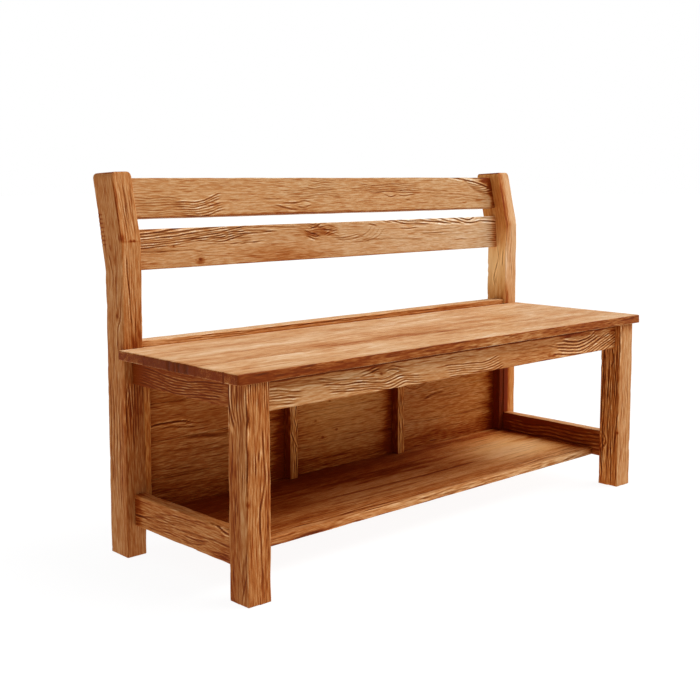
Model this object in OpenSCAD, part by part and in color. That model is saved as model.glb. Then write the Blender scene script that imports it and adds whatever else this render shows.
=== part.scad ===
// Shoe storage bench: softwood frame, plank seat, low slatted back, lower shelf and closed back.
// +X is the bench's right, +Y its back, +Z up. The origin is on the floor under the middle.

/* [Seat] */
// Length of the seat boards
seat_length = 1324; // [1100:1:1500]
// Height of the seat's top above the floor
seat_height = 450; // [420:1:480]
// Thickness of the seat boards
seat_thickness = 21; // [18:1:28]
// Depth of the seat in front of the rear posts
seat_depth = 404; // [380:1:440]
// Width of the narrow front board
seat_nose_width = 44; // [35:1:60]
// Seat overhang past each rear post
seat_overhang = 10; // [6:1:16]

/* [Frame] */
// Rear post width along the bench
post_width = 48; // [44:1:54]
// Rear post depth below the kink
post_depth = 66; // [60:1:72]
// Height of the posts' tops
post_height = 822; // [805:1:860]
// Height of the kink on the posts' front face
kink_front = 676; // [665:1:690]
// Height of the kink on the posts' rear face
kink_rear = 612; // [600:1:625]
// Lean of the posts' front face above the kink, in degrees
front_lean = 13.0; // [11:0.5:14]
// Lean of the posts' rear face above the kink, in degrees
rear_lean = 12.3; // [11:0.1:13]
// Fall of the post's top from front to rear
top_fall = 4; // [0:1:8]
// Rounding of the posts' top corners
top_round = 11; // [4:1:16]
// Front leg width along the bench
leg_width = 56; // [52:1:62]
// Front leg depth
leg_depth = 58; // [54:1:64]
// Legs stand back from the seat's front edge by
leg_setback = 5; // [2:1:12]
// Legs stand in from the posts' outer faces by
leg_inset = 13; // [4:1:16]

/* [Aprons and rails] */
// Height of the front apron
front_apron_height = 62; // [55:1:70]
// Thickness of the aprons
apron_thickness = 22; // [20:1:26]
// Front apron stands back from the legs' faces by
apron_setback = 16; // [8:1:18]
// Height of the side aprons
side_apron_height = 54; // [48:1:60]
// Underside of the lower rails and the shelf above the floor
rail_bottom = 68; // [60:1:90]
// Height of the side rails
rail_height = 68; // [60:1:80]
// Height of the rear lower rail
rear_rail_height = 82; // [68:1:90]
// Thickness of the lower rails
rail_thickness = 28; // [24:1:30]
// Rear seat rail stands above the seat by
seat_rail_lip = 13; // [10:1:20]
// Rear seat rail height
seat_rail_height = 60; // [50:1:80]
// Rear seat rail depth
seat_rail_depth = 36; // [34:1:40]
// Rear seat rail stands back from the posts' faces by
seat_rail_setback = 6; // [4:1:10]

/* [Back] */
// Height of each back slat
slat_height = 88; // [80:1:92]
// Thickness of the back slats
slat_thickness = 20; // [18:1:22]
// Height of the lower slat's bottom edge
lower_slat_bottom = 611; // [600:1:620]
// Gap between the slats
slat_gap = 24; // [15:1:28]
// Lower slat's face stands back from the posts' front face by
lower_slat_setback = 33; // [28:1:36]
// Top slat's face stands back from the kink by
top_slat_setback = 41; // [38:1:46]
// Lean of the lower slat, in degrees
lower_slat_lean = 4; // [2:1:6]
// Thickness of the back boards
back_board_thickness = 12; // [10:1:14]
// Depth of the upright battens in front of the back boards
batten_depth = 24; // [20:1:26]
// Width of the two middle battens
batten_width = 24; // [20:1:30]
// Width of the two end battens
end_batten_width = 17; // [14:1:24]
// Battens stand back from the posts' faces by
batten_setback = 2; // [0:1:6]
// Middle battens and bearers stand this far from the bench's middle
batten_spread = 184; // [150:1:220]

/* [Shelf] */
// Thickness of the shelf boards
shelf_thickness = 18; // [16:1:22]
// Shelf's front edge stands back from the front legs by
shelf_setback = 35; // [20:1:45]

/* [Joinery] */
// Tenon thickness
tenon_thickness = 10; // [8:1:12]
// Tenon length
tenon_length = 24; // [20:1:24]
// Tenon shoulder above and below
tenon_shoulder = 8; // [5:1:10]
// Gap between a tenon and its mortise, for glue
joint_gap = 0.2; // [0.1:0.1:0.4]
// Gap at a mortise's bottom
mortise_bottom = 1.5; // [1:0.5:3]
// Gap between boards that lie edge to edge
board_gap = 0.4; // [0.2:0.1:1]
// Tongue length on the back boards
tongue_length = 5; // [4:1:6]
// Tongue thickness on the back boards
tongue_thickness = 5; // [4:1:6]
// Dowel diameter
dowel_diameter = 8; // [6:1:10]
// Dowel length
dowel_length = 36; // [30:1:40]
// Cleat height and depth under the seat
cleat_size = 20; // [18:1:24]
// Height of the seat bearers
seat_bearer_height = 30; // [25:1:40]
// Width of the cross bearers
bearer_width = 36; // [30:1:40]
// Height of the shelf bearers
shelf_bearer_height = 16; // [14:1:20]
// Shelf bearers stand back from the shelf's front edge by
shelf_bearer_setback = 60; // [50:1:80]

/* [Screws] */
// Shank diameter of the wood screws
screw_shank = 4; // [3.5:0.5:5]
// Head diameter of the wood screws
screw_head = 8; // [7:0.5:9]
// Gap between a screw and its hole
screw_gap = 0.1; // [0.1:0.1:0.3]
// Length of the seat bearers' screws
bearer_screw_length = 44; // [38:1:46]
// Length of the cleats' screws
cleat_screw_length = 35; // [30:1:38]
// Length of the shelf bearers' screws
shelf_screw_length = 28; // [24:1:30]
// Length of the back boards' screws
back_screw_length = 32; // [24:1:36]
// Screws along each seat cleat
cleat_screws = 4; // [3:1:5]

/* [Hidden] */
$fn = 48;

wood_light = "burlywood";
wood_honey = "peru";
wood_dark = "sienna";
steel = "silver";

// Boards in each group: the seat's equal ones, the shelf's and the back's
seat_wide_boards = 4;
shelf_boards = 3;
back_boards = 3;

// Cutters reach this far past the faces they open
over = 1;
// Screws stand this far in from a cleat's end or off a shelf board's middle
screw_inset = 20;
// Width of the flat on a screw's point
screw_point = 0.6;

// Depth: the posts' rear face at the top is the rearmost line, the seat's front edge the foremost
top_lean_rear = (post_height - top_fall - kink_rear) * tan(rear_lean);
overall_depth = seat_depth + post_depth + top_lean_rear;
seat_front = -overall_depth / 2;
post_front = seat_front + seat_depth;
post_rear = post_front + post_depth;

// Lengths along the bench
post_outer = seat_length / 2 - seat_overhang;
post_inner = post_outer - post_width;
leg_outer = post_outer - leg_inset;
leg_inner = leg_outer - leg_width;

// Front legs and aprons
seat_underside = seat_height - seat_thickness;
leg_front = seat_front + leg_setback;
leg_rear = leg_front + leg_depth;
apron_front = leg_front + apron_setback;
apron_rear = apron_front + apron_thickness;
front_apron_bottom = seat_underside - front_apron_height;
side_apron_bottom = seat_underside - side_apron_height;
side_outer = post_inner + rail_thickness;
side_apron_inner = side_outer - apron_thickness;

// Rear rails and back boards
rail_top = rail_bottom + rail_height;
rear_rail_top = rail_bottom + rear_rail_height;
seat_rail_front = post_front + seat_rail_setback;
seat_rail_rear = seat_rail_front + seat_rail_depth;
seat_rail_top = seat_height + seat_rail_lip;
seat_rail_bottom = seat_rail_top - seat_rail_height;
batten_front = post_front + batten_setback;
back_front = batten_front + batten_depth;
back_rear = back_front + back_board_thickness;
lower_rail_rear = back_front + rail_thickness;
back_tongue_front = back_front + (back_board_thickness - tongue_thickness) / 2;
back_board_height = (seat_rail_bottom - rear_rail_top - (back_boards + 1) * board_gap) / back_boards;

// Shelf
shelf_top = rail_bottom + shelf_thickness;
shelf_front = leg_rear + shelf_setback;
shelf_board_width = (back_front - shelf_front - (shelf_boards - 1) * board_gap) / shelf_boards;
shelf_end = post_inner - board_gap;
shelf_bearer_front = shelf_front + shelf_bearer_setback;
shelf_bearer_bottom = rail_bottom - shelf_bearer_height;

// Seat boards from the front: the narrow one, then equal ones; the last one runs on to the seat rail
seat_wide_width = (seat_depth - seat_nose_width - seat_wide_boards * board_gap) / seat_wide_boards;
seat_rear = seat_rail_front - board_gap;

// Middle planes of the tenons, and the sizes of the smaller tenons
leg_tenon_side_x = side_outer - apron_thickness / 2;
rail_tenon_side_x = side_outer - rail_thickness / 2;
apron_tenon_y = (apron_front + apron_rear) / 2;
seat_rail_tenon_y = seat_rail_rear - tenon_thickness;
lower_rail_tenon_y = lower_rail_rear - tenon_thickness;
slat_tenon_length = 20;
slat_tenon_thickness = 10;
slat_tenon_shoulder = 8;
post_tenon_length = 22;
bearer_tenon_length = 10;

// The slats' section: height along the slat, lean about the bottom front edge
top_slat_bottom = lower_slat_bottom + slat_height * cos(lower_slat_lean) + slat_gap;
lower_slat_front = post_front + lower_slat_setback;
top_slat_front = post_front + top_slat_setback;

// Points of a board's section, leaned back by angle a about its lower front edge
function lean(y, z, a) = [y * cos(a) + z * sin(a), z * cos(a) - y * sin(a)];

// Screw places
function spaced(first, last, count) = [for (i = [0 : count - 1]) first + i * (last - first) / (count - 1)];
cleat_front = leg_rear + over;
cleat_rear = post_front - over;
cleat_screw_y = spaced(cleat_front + screw_inset, cleat_rear - screw_inset, cleat_screws);
cleat_x = side_apron_inner - cleat_size / 2;
function seat_board_front(i) =
    i == 0 ? seat_front : seat_front + seat_nose_width + board_gap + (i - 1) * (seat_wide_width + board_gap);
function shelf_board_front(i) = shelf_front + i * (shelf_board_width + board_gap);
function back_board_bottom(i) = rear_rail_top + board_gap + i * (back_board_height + board_gap);
bearer_screw_y = [for (i = [1 : seat_wide_boards]) seat_board_front(i) + seat_wide_width / 2];
shelf_screw_y = [
    shelf_bearer_front + screw_inset,
    for (i = [1 : shelf_boards - 1]) shelf_board_front(i) + shelf_board_width / 2 - screw_inset,
    for (i = [1 : shelf_boards - 1]) shelf_board_front(i) + shelf_board_width / 2 + screw_inset
];
back_batten_x = [-post_inner + end_batten_width / 2, -batten_spread, batten_spread,
                 post_inner - end_batten_width / 2];
// First dowel behind each shelf board's front edge, and the second behind the first
dowel_inset = 25;
dowel_pitch = 40;
dowel_y = [for (i = [0 : shelf_boards - 1]) for (e = [dowel_inset, dowel_inset + dowel_pitch])
           shelf_board_front(i) + e];
dowel_z = rail_bottom + shelf_thickness / 2;

// A box from one corner to the opposite one
module block(a, b) {
    translate(a) cube(b - a);
}

// A tenon's box, grown by g on every side
module grown(a, b, g) {
    block([a.x - g, a.y - g, a.z - g], [b.x + g, b.y + g, b.z + g]);
}

// A section in Y and Z, run along X from x0 to x1
module along_x(x0, x1, points) {
    translate([x0, 0, 0]) rotate([90, 0, 90]) linear_extrude(x1 - x0) polygon(points);
}

// A countersunk wood screw that points up from its head's flat face at the origin
module screw(length, gap = 0) {
    head_depth = (screw_head - screw_shank) / 2;
    tip = screw_shank;
    cylinder(h = head_depth, d1 = screw_head + 2 * gap, d2 = screw_shank + 2 * gap);
    cylinder(h = length - tip, d = screw_shank + 2 * gap);
    translate([0, 0, length - tip])
        cylinder(h = tip + gap, d1 = screw_shank + 2 * gap, d2 = screw_point + 2 * gap);
}

module seat_screw_set(gap = 0) {
    for (side = [-1, 1]) {
        for (y = cleat_screw_y)
            translate([side * cleat_x, y, seat_underside - cleat_size]) screw(cleat_screw_length, gap);
        for (y = bearer_screw_y)
            translate([side * batten_spread, y, seat_underside - seat_bearer_height])
                screw(bearer_screw_length, gap);
    }
}

module shelf_screw_set(gap = 0) {
    for (side = [-1, 1]) for (y = shelf_screw_y)
        translate([side * batten_spread, y, shelf_bearer_bottom]) screw(shelf_screw_length, gap);
}

module back_screw_set(gap = 0) {
    for (x = back_batten_x) for (i = [0 : back_boards - 1])
        translate([x, back_rear, back_board_bottom(i) + back_board_height / 2])
            rotate([90, 0, 0]) screw(back_screw_length, gap);
}

module dowel_set(gap = 0) {
    for (side = [-1, 1]) for (y = dowel_y)
        translate([side * post_inner, y, dowel_z]) rotate([0, 90, 0])
            cylinder(h = dowel_length + 2 * gap, d = dowel_diameter + 2 * gap, center = true);
}

// Tenons, drawn with gap = 0 on the boards and with a gap as mortises
module front_apron_tenons(gap = 0, deep = 0) {
    for (side = [-1, 1])
        grown([side > 0 ? leg_inner - over : -leg_inner - tenon_length - deep,
               apron_tenon_y - tenon_thickness / 2, front_apron_bottom + tenon_shoulder],
              [side > 0 ? leg_inner + tenon_length + deep : -leg_inner + over,
               apron_tenon_y + tenon_thickness / 2, seat_underside - tenon_shoulder], gap);
}

module side_tenons(side, x, z0, z1, gap = 0, deep = 0) {
    grown([side * x - tenon_thickness / 2, leg_rear - tenon_length - deep, z0 + tenon_shoulder],
          [side * x + tenon_thickness / 2, leg_rear + over, z1 - tenon_shoulder], gap);
    grown([side * x - tenon_thickness / 2, post_front - over, z0 + tenon_shoulder],
          [side * x + tenon_thickness / 2, post_front + tenon_length + deep, z1 - tenon_shoulder], gap);
}

module side_apron_tenons(side, gap = 0, deep = 0) {
    side_tenons(side, leg_tenon_side_x, side_apron_bottom, seat_underside, gap, deep);
}

module side_rail_tenons(side, gap = 0, deep = 0) {
    side_tenons(side, rail_tenon_side_x, rail_bottom, rail_top, gap, deep);
}

module rear_tenons(y, z0, z1, gap = 0, deep = 0) {
    for (side = [-1, 1])
        grown([side > 0 ? post_inner - over : -post_inner - post_tenon_length - deep,
               y - tenon_thickness / 2, z0 + tenon_shoulder],
              [side > 0 ? post_inner + post_tenon_length + deep : -post_inner + over,
               y + tenon_thickness / 2, z1 - tenon_shoulder], gap);
}

module seat_rail_tenons(gap = 0, deep = 0) {
    rear_tenons(seat_rail_tenon_y, seat_rail_bottom, seat_rail_top, gap, deep);
}

module lower_rail_tenons(gap = 0, deep = 0) {
    rear_tenons(lower_rail_tenon_y, rail_bottom, rear_rail_top, gap, deep);
}

// A slat's leaned section, drawn in from its faces by inset_y and from its edges by inset_z
module slat_section(x0, x1, y, z, a, inset_y = 0, inset_z = 0) {
    along_x(x0, x1, [
        for (p = [[inset_y, inset_z], [slat_thickness - inset_y, inset_z],
                  [slat_thickness - inset_y, slat_height - inset_z], [inset_y, slat_height - inset_z]])
            [y, z] + lean(p.x, p.y, a)
    ]);
}

module slat_tenons(y, z, a, gap = 0, deep = 0) {
    reach = slat_tenon_length + deep;
    inset_y = (slat_thickness - slat_tenon_thickness) / 2 - gap;
    for (side = [-1, 1])
        slat_section(side > 0 ? post_inner - over : -post_inner - reach,
                     side > 0 ? post_inner + reach : -post_inner + over,
                     y, z, a, inset_y, slat_tenon_shoulder - gap);
}

module top_slat_tenons(gap = 0, deep = 0) {
    slat_tenons(top_slat_front, top_slat_bottom, front_lean, gap, deep);
}

module lower_slat_tenons(gap = 0, deep = 0) {
    slat_tenons(lower_slat_front, lower_slat_bottom, lower_slat_lean, gap, deep);
}

module bearer_tenons(gap = 0) {
    for (side = [-1, 1])
        grown([side * batten_spread - bearer_width / 2 + tenon_shoulder, apron_rear - bearer_tenon_length,
               seat_underside - seat_bearer_height + tenon_shoulder],
              [side * batten_spread + bearer_width / 2 - tenon_shoulder,
               seat_rail_front + bearer_tenon_length, seat_underside - tenon_shoulder], gap);
}

module leg(side) {
    color(wood_honey) difference() {
        block([side > 0 ? leg_inner : -leg_outer, leg_front, 0],
              [side > 0 ? leg_outer : -leg_inner, leg_rear, seat_underside]);
        front_apron_tenons(joint_gap, mortise_bottom);
        side_apron_tenons(side, joint_gap, mortise_bottom);
        side_rail_tenons(side, joint_gap, mortise_bottom);
    }
}

module front_left_leg() leg(-1);
module front_right_leg() leg(1);

// Outline of a post's top in X, with its two corners rounded
module post_front_shape() {
    difference() {
        translate([0, -over]) square([post_width, post_height + over]);
        for (s = [0, 1]) translate([s * post_width, post_height]) mirror([s, 0])
            difference() {
                translate([-over, -top_round]) square([top_round + over, top_round + over]);
                translate([top_round, -top_round]) circle(r = top_round);
            }
    }
}

module post_side_shape() {
    polygon([
        [post_front, 0], [post_rear, 0], [post_rear, kink_rear],
        [post_rear + top_lean_rear, post_height - top_fall],
        [post_front + (post_height - kink_front) * tan(front_lean), post_height],
        [post_front, kink_front]
    ]);
}

module post(side) {
    start = side > 0 ? post_inner : -post_outer;
    color(wood_honey) difference() {
        intersection() {
            translate([start, 0, 0]) rotate([90, 0, 90]) linear_extrude(post_width) post_side_shape();
            translate([start, overall_depth, 0]) rotate([90, 0, 0])
                linear_extrude(2 * overall_depth) post_front_shape();
        }
        side_apron_tenons(side, joint_gap, mortise_bottom);
        side_rail_tenons(side, joint_gap, mortise_bottom);
        seat_rail_tenons(joint_gap, mortise_bottom);
        lower_rail_tenons(joint_gap, mortise_bottom);
        top_slat_tenons(joint_gap, mortise_bottom);
        lower_slat_tenons(joint_gap, mortise_bottom);
    }
}

module rear_left_post() post(-1);
module rear_right_post() post(1);

module front_apron() {
    color(wood_honey) difference() {
        union() {
            block([-leg_inner, apron_front, front_apron_bottom], [leg_inner, apron_rear, seat_underside]);
            front_apron_tenons();
        }
        bearer_tenons(joint_gap);
    }
}

module side_apron(side) {
    color(wood_honey) {
        block([side > 0 ? side_apron_inner : -side_outer, leg_rear, side_apron_bottom],
              [side > 0 ? side_outer : -side_apron_inner, post_front, seat_underside]);
        side_apron_tenons(side);
    }
}

module left_side_apron() side_apron(-1);
module right_side_apron() side_apron(1);

module side_rail(side) {
    color(wood_honey) difference() {
        union() {
            block([side > 0 ? post_inner : -side_outer, leg_rear, rail_bottom],
                  [side > 0 ? side_outer : -post_inner, post_front, rail_top]);
            side_rail_tenons(side);
        }
        dowel_set(joint_gap);
    }
}

module left_side_rail() side_rail(-1);
module right_side_rail() side_rail(1);

module rear_seat_rail() {
    color(wood_honey) difference() {
        union() {
            block([-post_inner, seat_rail_front, seat_rail_bottom],
                  [post_inner, seat_rail_rear, seat_rail_top]);
            seat_rail_tenons();
        }
        bearer_tenons(joint_gap);
        // Groove for the top back board's tongue
        block([-post_inner - over, back_tongue_front - joint_gap, seat_rail_bottom - over],
              [post_inner + over, back_tongue_front + tongue_thickness + joint_gap,
               seat_rail_bottom + tongue_length + joint_gap]);
    }
}

module rear_lower_rail() {
    color(wood_dark) {
        block([-post_inner, back_front, rail_bottom], [post_inner, lower_rail_rear, rear_rail_top]);
        lower_rail_tenons();
        // Tongue that the lowest back board stands on
        block([-post_inner + board_gap, back_tongue_front, rear_rail_top - over],
              [post_inner - board_gap, back_tongue_front + tongue_thickness, rear_rail_top + tongue_length]);
    }
}

module top_back_slat() {
    color(wood_honey) {
        slat_section(-post_inner, post_inner, top_slat_front, top_slat_bottom, front_lean);
        top_slat_tenons();
    }
}

module lower_back_slat() {
    color(wood_honey) {
        slat_section(-post_inner, post_inner, lower_slat_front, lower_slat_bottom, lower_slat_lean);
        lower_slat_tenons();
    }
}

// Seat board i, counted from the front; the last one runs back to the seat rail, round the posts
module seat_plank(i) {
    last = i == seat_wide_boards;
    front = seat_board_front(i);
    rear = last ? seat_rear : front + (i == 0 ? seat_nose_width : seat_wide_width);
    color(wood_light) difference() {
        block([-seat_length / 2, front, seat_underside], [seat_length / 2, rear, seat_height]);
        if (last) for (s = [0, 1]) mirror([s, 0, 0])
            block([post_inner - board_gap, post_front, seat_underside - over],
                  [post_outer + board_gap, post_rear, seat_height + over]);
        seat_screw_set(screw_gap);
    }
}

module seat_plank_1() seat_plank(0);
module seat_plank_2() seat_plank(1);
module seat_plank_3() seat_plank(2);
module seat_plank_4() seat_plank(3);
module seat_plank_5() seat_plank(4);

module shelf_plank(i) {
    front = shelf_board_front(i);
    color(wood_honey) difference() {
        block([-shelf_end, front, rail_bottom], [shelf_end, front + shelf_board_width, shelf_top]);
        shelf_screw_set(screw_gap);
        dowel_set(joint_gap);
    }
}

module shelf_plank_1() shelf_plank(0);
module shelf_plank_2() shelf_plank(1);
module shelf_plank_3() shelf_plank(2);

// Back board i, counted from below: a groove underneath, a tongue on top
module back_board(i) {
    z = back_board_bottom(i);
    color(wood_dark) difference() {
        union() {
            block([-post_inner + board_gap, back_front, z],
                  [post_inner - board_gap, back_rear, z + back_board_height]);
            block([-post_inner + board_gap, back_tongue_front, z + back_board_height - over],
                  [post_inner - board_gap, back_tongue_front + tongue_thickness,
                   z + back_board_height + tongue_length]);
        }
        block([-post_inner, back_tongue_front - joint_gap, z - over],
              [post_inner, back_tongue_front + tongue_thickness + joint_gap, z + tongue_length + joint_gap]);
        back_screw_set(screw_gap);
    }
}

module back_board_1() back_board(0);
module back_board_2() back_board(1);
module back_board_3() back_board(2);

module batten(x, width) {
    color(wood_dark) difference() {
        block([x - width / 2, batten_front, shelf_top], [x + width / 2, back_front, seat_rail_bottom]);
        back_screw_set(screw_gap);
    }
}

module left_end_batten() batten(back_batten_x[0], end_batten_width);
module left_mid_batten() batten(back_batten_x[1], batten_width);
module right_mid_batten() batten(back_batten_x[2], batten_width);
module right_end_batten() batten(back_batten_x[3], end_batten_width);

module seat_bearer(side) {
    color(wood_dark) difference() {
        union() {
            block([side * batten_spread - bearer_width / 2, apron_rear, seat_underside - seat_bearer_height],
                  [side * batten_spread + bearer_width / 2, seat_rail_front, seat_underside]);
            intersection() {
                bearer_tenons();
                translate([side * batten_spread, 0, seat_underside])
                    cube([2 * bearer_width, 2 * overall_depth, 2 * seat_bearer_height], center = true);
            }
        }
        seat_screw_set(screw_gap);
    }
}

module left_seat_bearer() seat_bearer(-1);
module right_seat_bearer() seat_bearer(1);

module seat_cleat(side) {
    color(wood_dark) difference() {
        block([side > 0 ? side_apron_inner - cleat_size : -side_apron_inner, cleat_front,
               seat_underside - cleat_size],
              [side > 0 ? side_apron_inner : -side_apron_inner + cleat_size, cleat_rear, seat_underside]);
        seat_screw_set(screw_gap);
    }
}

module left_seat_cleat() seat_cleat(-1);
module right_seat_cleat() seat_cleat(1);

module shelf_bearer(side) {
    color(wood_dark) difference() {
        block([side * batten_spread - bearer_width / 2, shelf_bearer_front, shelf_bearer_bottom],
              [side * batten_spread + bearer_width / 2, back_front, rail_bottom]);
        shelf_screw_set(screw_gap);
    }
}

module left_shelf_bearer() shelf_bearer(-1);
module right_shelf_bearer() shelf_bearer(1);

module seat_screws() { color(steel) seat_screw_set(); }
module shelf_screws() { color(steel) shelf_screw_set(); }
module back_screws() { color(steel) back_screw_set(); }
module shelf_dowels() { color(wood_light) dowel_set(); }

front_left_leg();
front_right_leg();
rear_left_post();
rear_right_post();
front_apron();
left_side_apron();
right_side_apron();
left_side_rail();
right_side_rail();
rear_seat_rail();
rear_lower_rail();
top_back_slat();
lower_back_slat();
seat_plank_1();
seat_plank_2();
seat_plank_3();
seat_plank_4();
seat_plank_5();
shelf_plank_1();
shelf_plank_2();
shelf_plank_3();
back_board_1();
back_board_2();
back_board_3();
left_end_batten();
left_mid_batten();
right_mid_batten();
right_end_batten();
left_seat_bearer();
right_seat_bearer();
left_seat_cleat();
right_seat_cleat();
left_shelf_bearer();
right_shelf_bearer();
seat_screws();
shelf_screws();
back_screws();
shelf_dowels();
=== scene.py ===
"""Dresses the shoe storage bench: brushed softwood boards over the CAD frame, floor, light and camera."""
import math

import bpy
import numpy as np
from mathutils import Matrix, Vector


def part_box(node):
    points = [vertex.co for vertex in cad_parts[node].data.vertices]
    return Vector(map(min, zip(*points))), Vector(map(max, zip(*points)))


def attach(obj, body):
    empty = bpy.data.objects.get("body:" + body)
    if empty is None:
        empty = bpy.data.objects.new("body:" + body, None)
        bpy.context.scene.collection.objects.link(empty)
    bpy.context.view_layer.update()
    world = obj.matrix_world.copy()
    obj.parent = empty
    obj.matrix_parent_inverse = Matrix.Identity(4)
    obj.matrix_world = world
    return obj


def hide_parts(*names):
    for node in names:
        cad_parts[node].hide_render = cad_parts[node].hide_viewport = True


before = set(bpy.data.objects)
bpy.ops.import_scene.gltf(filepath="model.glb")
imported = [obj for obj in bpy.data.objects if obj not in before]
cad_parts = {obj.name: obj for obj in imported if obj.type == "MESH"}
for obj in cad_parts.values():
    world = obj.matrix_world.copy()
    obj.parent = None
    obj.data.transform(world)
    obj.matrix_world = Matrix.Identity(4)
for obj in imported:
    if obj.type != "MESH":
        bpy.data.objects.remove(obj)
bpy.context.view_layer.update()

MM = 0.001

# Camera, fitted to the photograph: place in metres, angles in degrees, lens and sensor in mm
CAMERA_PLACE = (-1.9025, -1.8772, 0.8119)
CAMERA_PITCH = -5.843
CAMERA_YAW = 43.198
CAMERA_LENS = 57.906
CAMERA_SENSOR = 36
CAMERA_SHIFT_Y = -0.08375

# Studio: each sun's name, azimuth, elevation, strength and angle, and the floor's reach in metres
SUNS = (("key", 48, 54, 1.7, 35), ("side", 74, 32, 1.5, 25))
SUN_COLOUR = (1.0, 0.985, 0.96)
DOME_STRENGTH = 0.5
FLOOR_REACH = 40.0
FLOOR_COLOUR = (0.1, 0.1, 0.1, 1)
FLOOR_GLOW = 0.93
WHITE = (1.0, 1.0, 1.0, 1)

# The posts' and slats' lean, as the part's source has it: heights in mm, angles in degrees
KINK_FRONT = 676
KINK_REAR = 612
FRONT_LEAN = 13.0
REAR_LEAN = 12.3
POST_DEPTH = 66
TOP_FALL = 4
TOP_ROUND = 11
SLAT_THICKNESS = 20
SLAT_HEIGHT = 88
LOWER_SLAT_LEAN = 4

# Boards run this far into what they meet, in metres, and the back boards' tongues are this long, in mm
BITE = 1.0 * MM
TONGUE = 5
# Gap round the posts in the rear seat board, and the width of the cut's step, in mm
NOTCH_GAP = 0.4
NOTCH_STEP = 0.1

# Grid lines stand closer within this much of an edge, in mm, at these parts of it
RIM = 4.0
RIM_LINES = (0.0, 0.3, 0.65)
# Joint sides keep this small rounding, and it starts this far from them, in mm
SHARP_RADIUS = 0.4
SHARP_REACH = 5
# Shifts of the waves from one long arris to the next, in mm, so that each wears in its own way
ARRIS_SHIFTS = (0.0, 400.0, 900.0)
# A patch's directions, along, across and in from its face, and the depth that it reaches, in mm
PATCH_AXES = {"face": (0, 1, 2, 14), "side": (0, 2, 1, 14), "end": (1, 2, 0, 3)}
# Patches this thin or thinner keep even edges and stay shallow, and wider ones have evener edges, in mm
THIN_PATCH = 3
RAGGED_REACH = 20
# Strokes fade out this far in from their face and near their ends, are smoothed over a step, and waver a
# little, in mm
STROKE_DEPTH = 5
STROKE_FADE = (5, 12)
STROKE_STEP = 6
WAVER = 0.5
WAVER_LENGTH = 13
# A knot is this much longer than wide, and bends the figure this far along and across, in its radii. It
# counts as near within the last reach, and elsewhere these are the offsets and the weight
KNOT_LENGTH = 1.5
KNOT_BEND = (4.5, 2.2)
KNOT_REACH = 3.5
NO_KNOT = (9.0, 9.0, 0.0)
# Where side grain turns into end grain, and from where a surface belongs to a side, as parts of its normal
SIDE_GRAIN_SPAN = (0.6, 0.9)
TOWARD_SPAN = (0.45, 0.9)
# Part of a ring's turn in which its groove sinks, and in which it rises again
GROOVE_SINKS = (0.4, 0.85)
GROOVE_RISES = (0.88, 1.0)
# Stain gathers within this reach of a board's ends, and is rubbed off within this reach of its arrises, in mm
GRIME_REACH = 9.0
RUBBED_REACH = 2.2
RUBBED_SHARE = 0.24
END_GRAIN_STAIN = 0.5

# Waves of a board: seed offset, lengths in mm along, across and through it, and their number
WAVES = {"sway across": (1, (900, 1, 1), 5), "sway inward": (2, (700, 1, 1), 5),
         "uneven rings": (3, (520, 90, 90), 8), "ripple": (4, (110, 80, 80), 8), "curl": (9, (58, 46, 46), 8),
         "arris": (5, (90, 500, 500), 6), "chip": (6, (26, 400, 400), 6), "rubbing": (11, (45, 500, 500), 6),
         "chance": (7, (230, 42, 42), 6), "ragged": (10, (70, 16, 16), 8), "plane": (8, (330, 90, 90), 6)}

# Linear colours: pale wood before any stain, its cool and warm tint, ridges rubbed pale with a painted
# highlight, and old dirt with painted shade in the grooves
BASE_WOOD = (0.763, 0.563, 0.38, 1)
COOL_TINT = (1.0, 1.2, 1.44, 1)
WARM_TINT = (1.0, 0.68, 0.33, 1)
RUBBED_PALE_AND_HIGHLIGHT = (1.3, 1.36, 1.42, 1)
GROOVE_DIRT_AND_SHADE = (0.046, 0.015, 0.005, 1)
# The warmth at which each tint is full, and the stain's least and greatest depth
WARMTH_SPAN = (-2.5, 4.0)
DEPTH_SPAN = (0.3, 6.2)
# Levels across one growth ring, of its dark line and of the ridge beside it
RING_LINE = ((0.0, 0.2), (0.1, 0.0), (0.5, 0.04), (0.7, 0.4), (0.82, 1.0), (0.92, 0.95), (1.0, 0.2))
RING_RIDGE = ((0.0, 0.5), (0.1, 1.0), (0.4, 0.0), (0.95, 0.0), (1.0, 0.5))
FINE_RELIEF = 0.9 * MM

# Finish slots
SEAT = "seat_wood"
FRAME = "frame_wood"
BACK = "back_wood"


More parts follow.
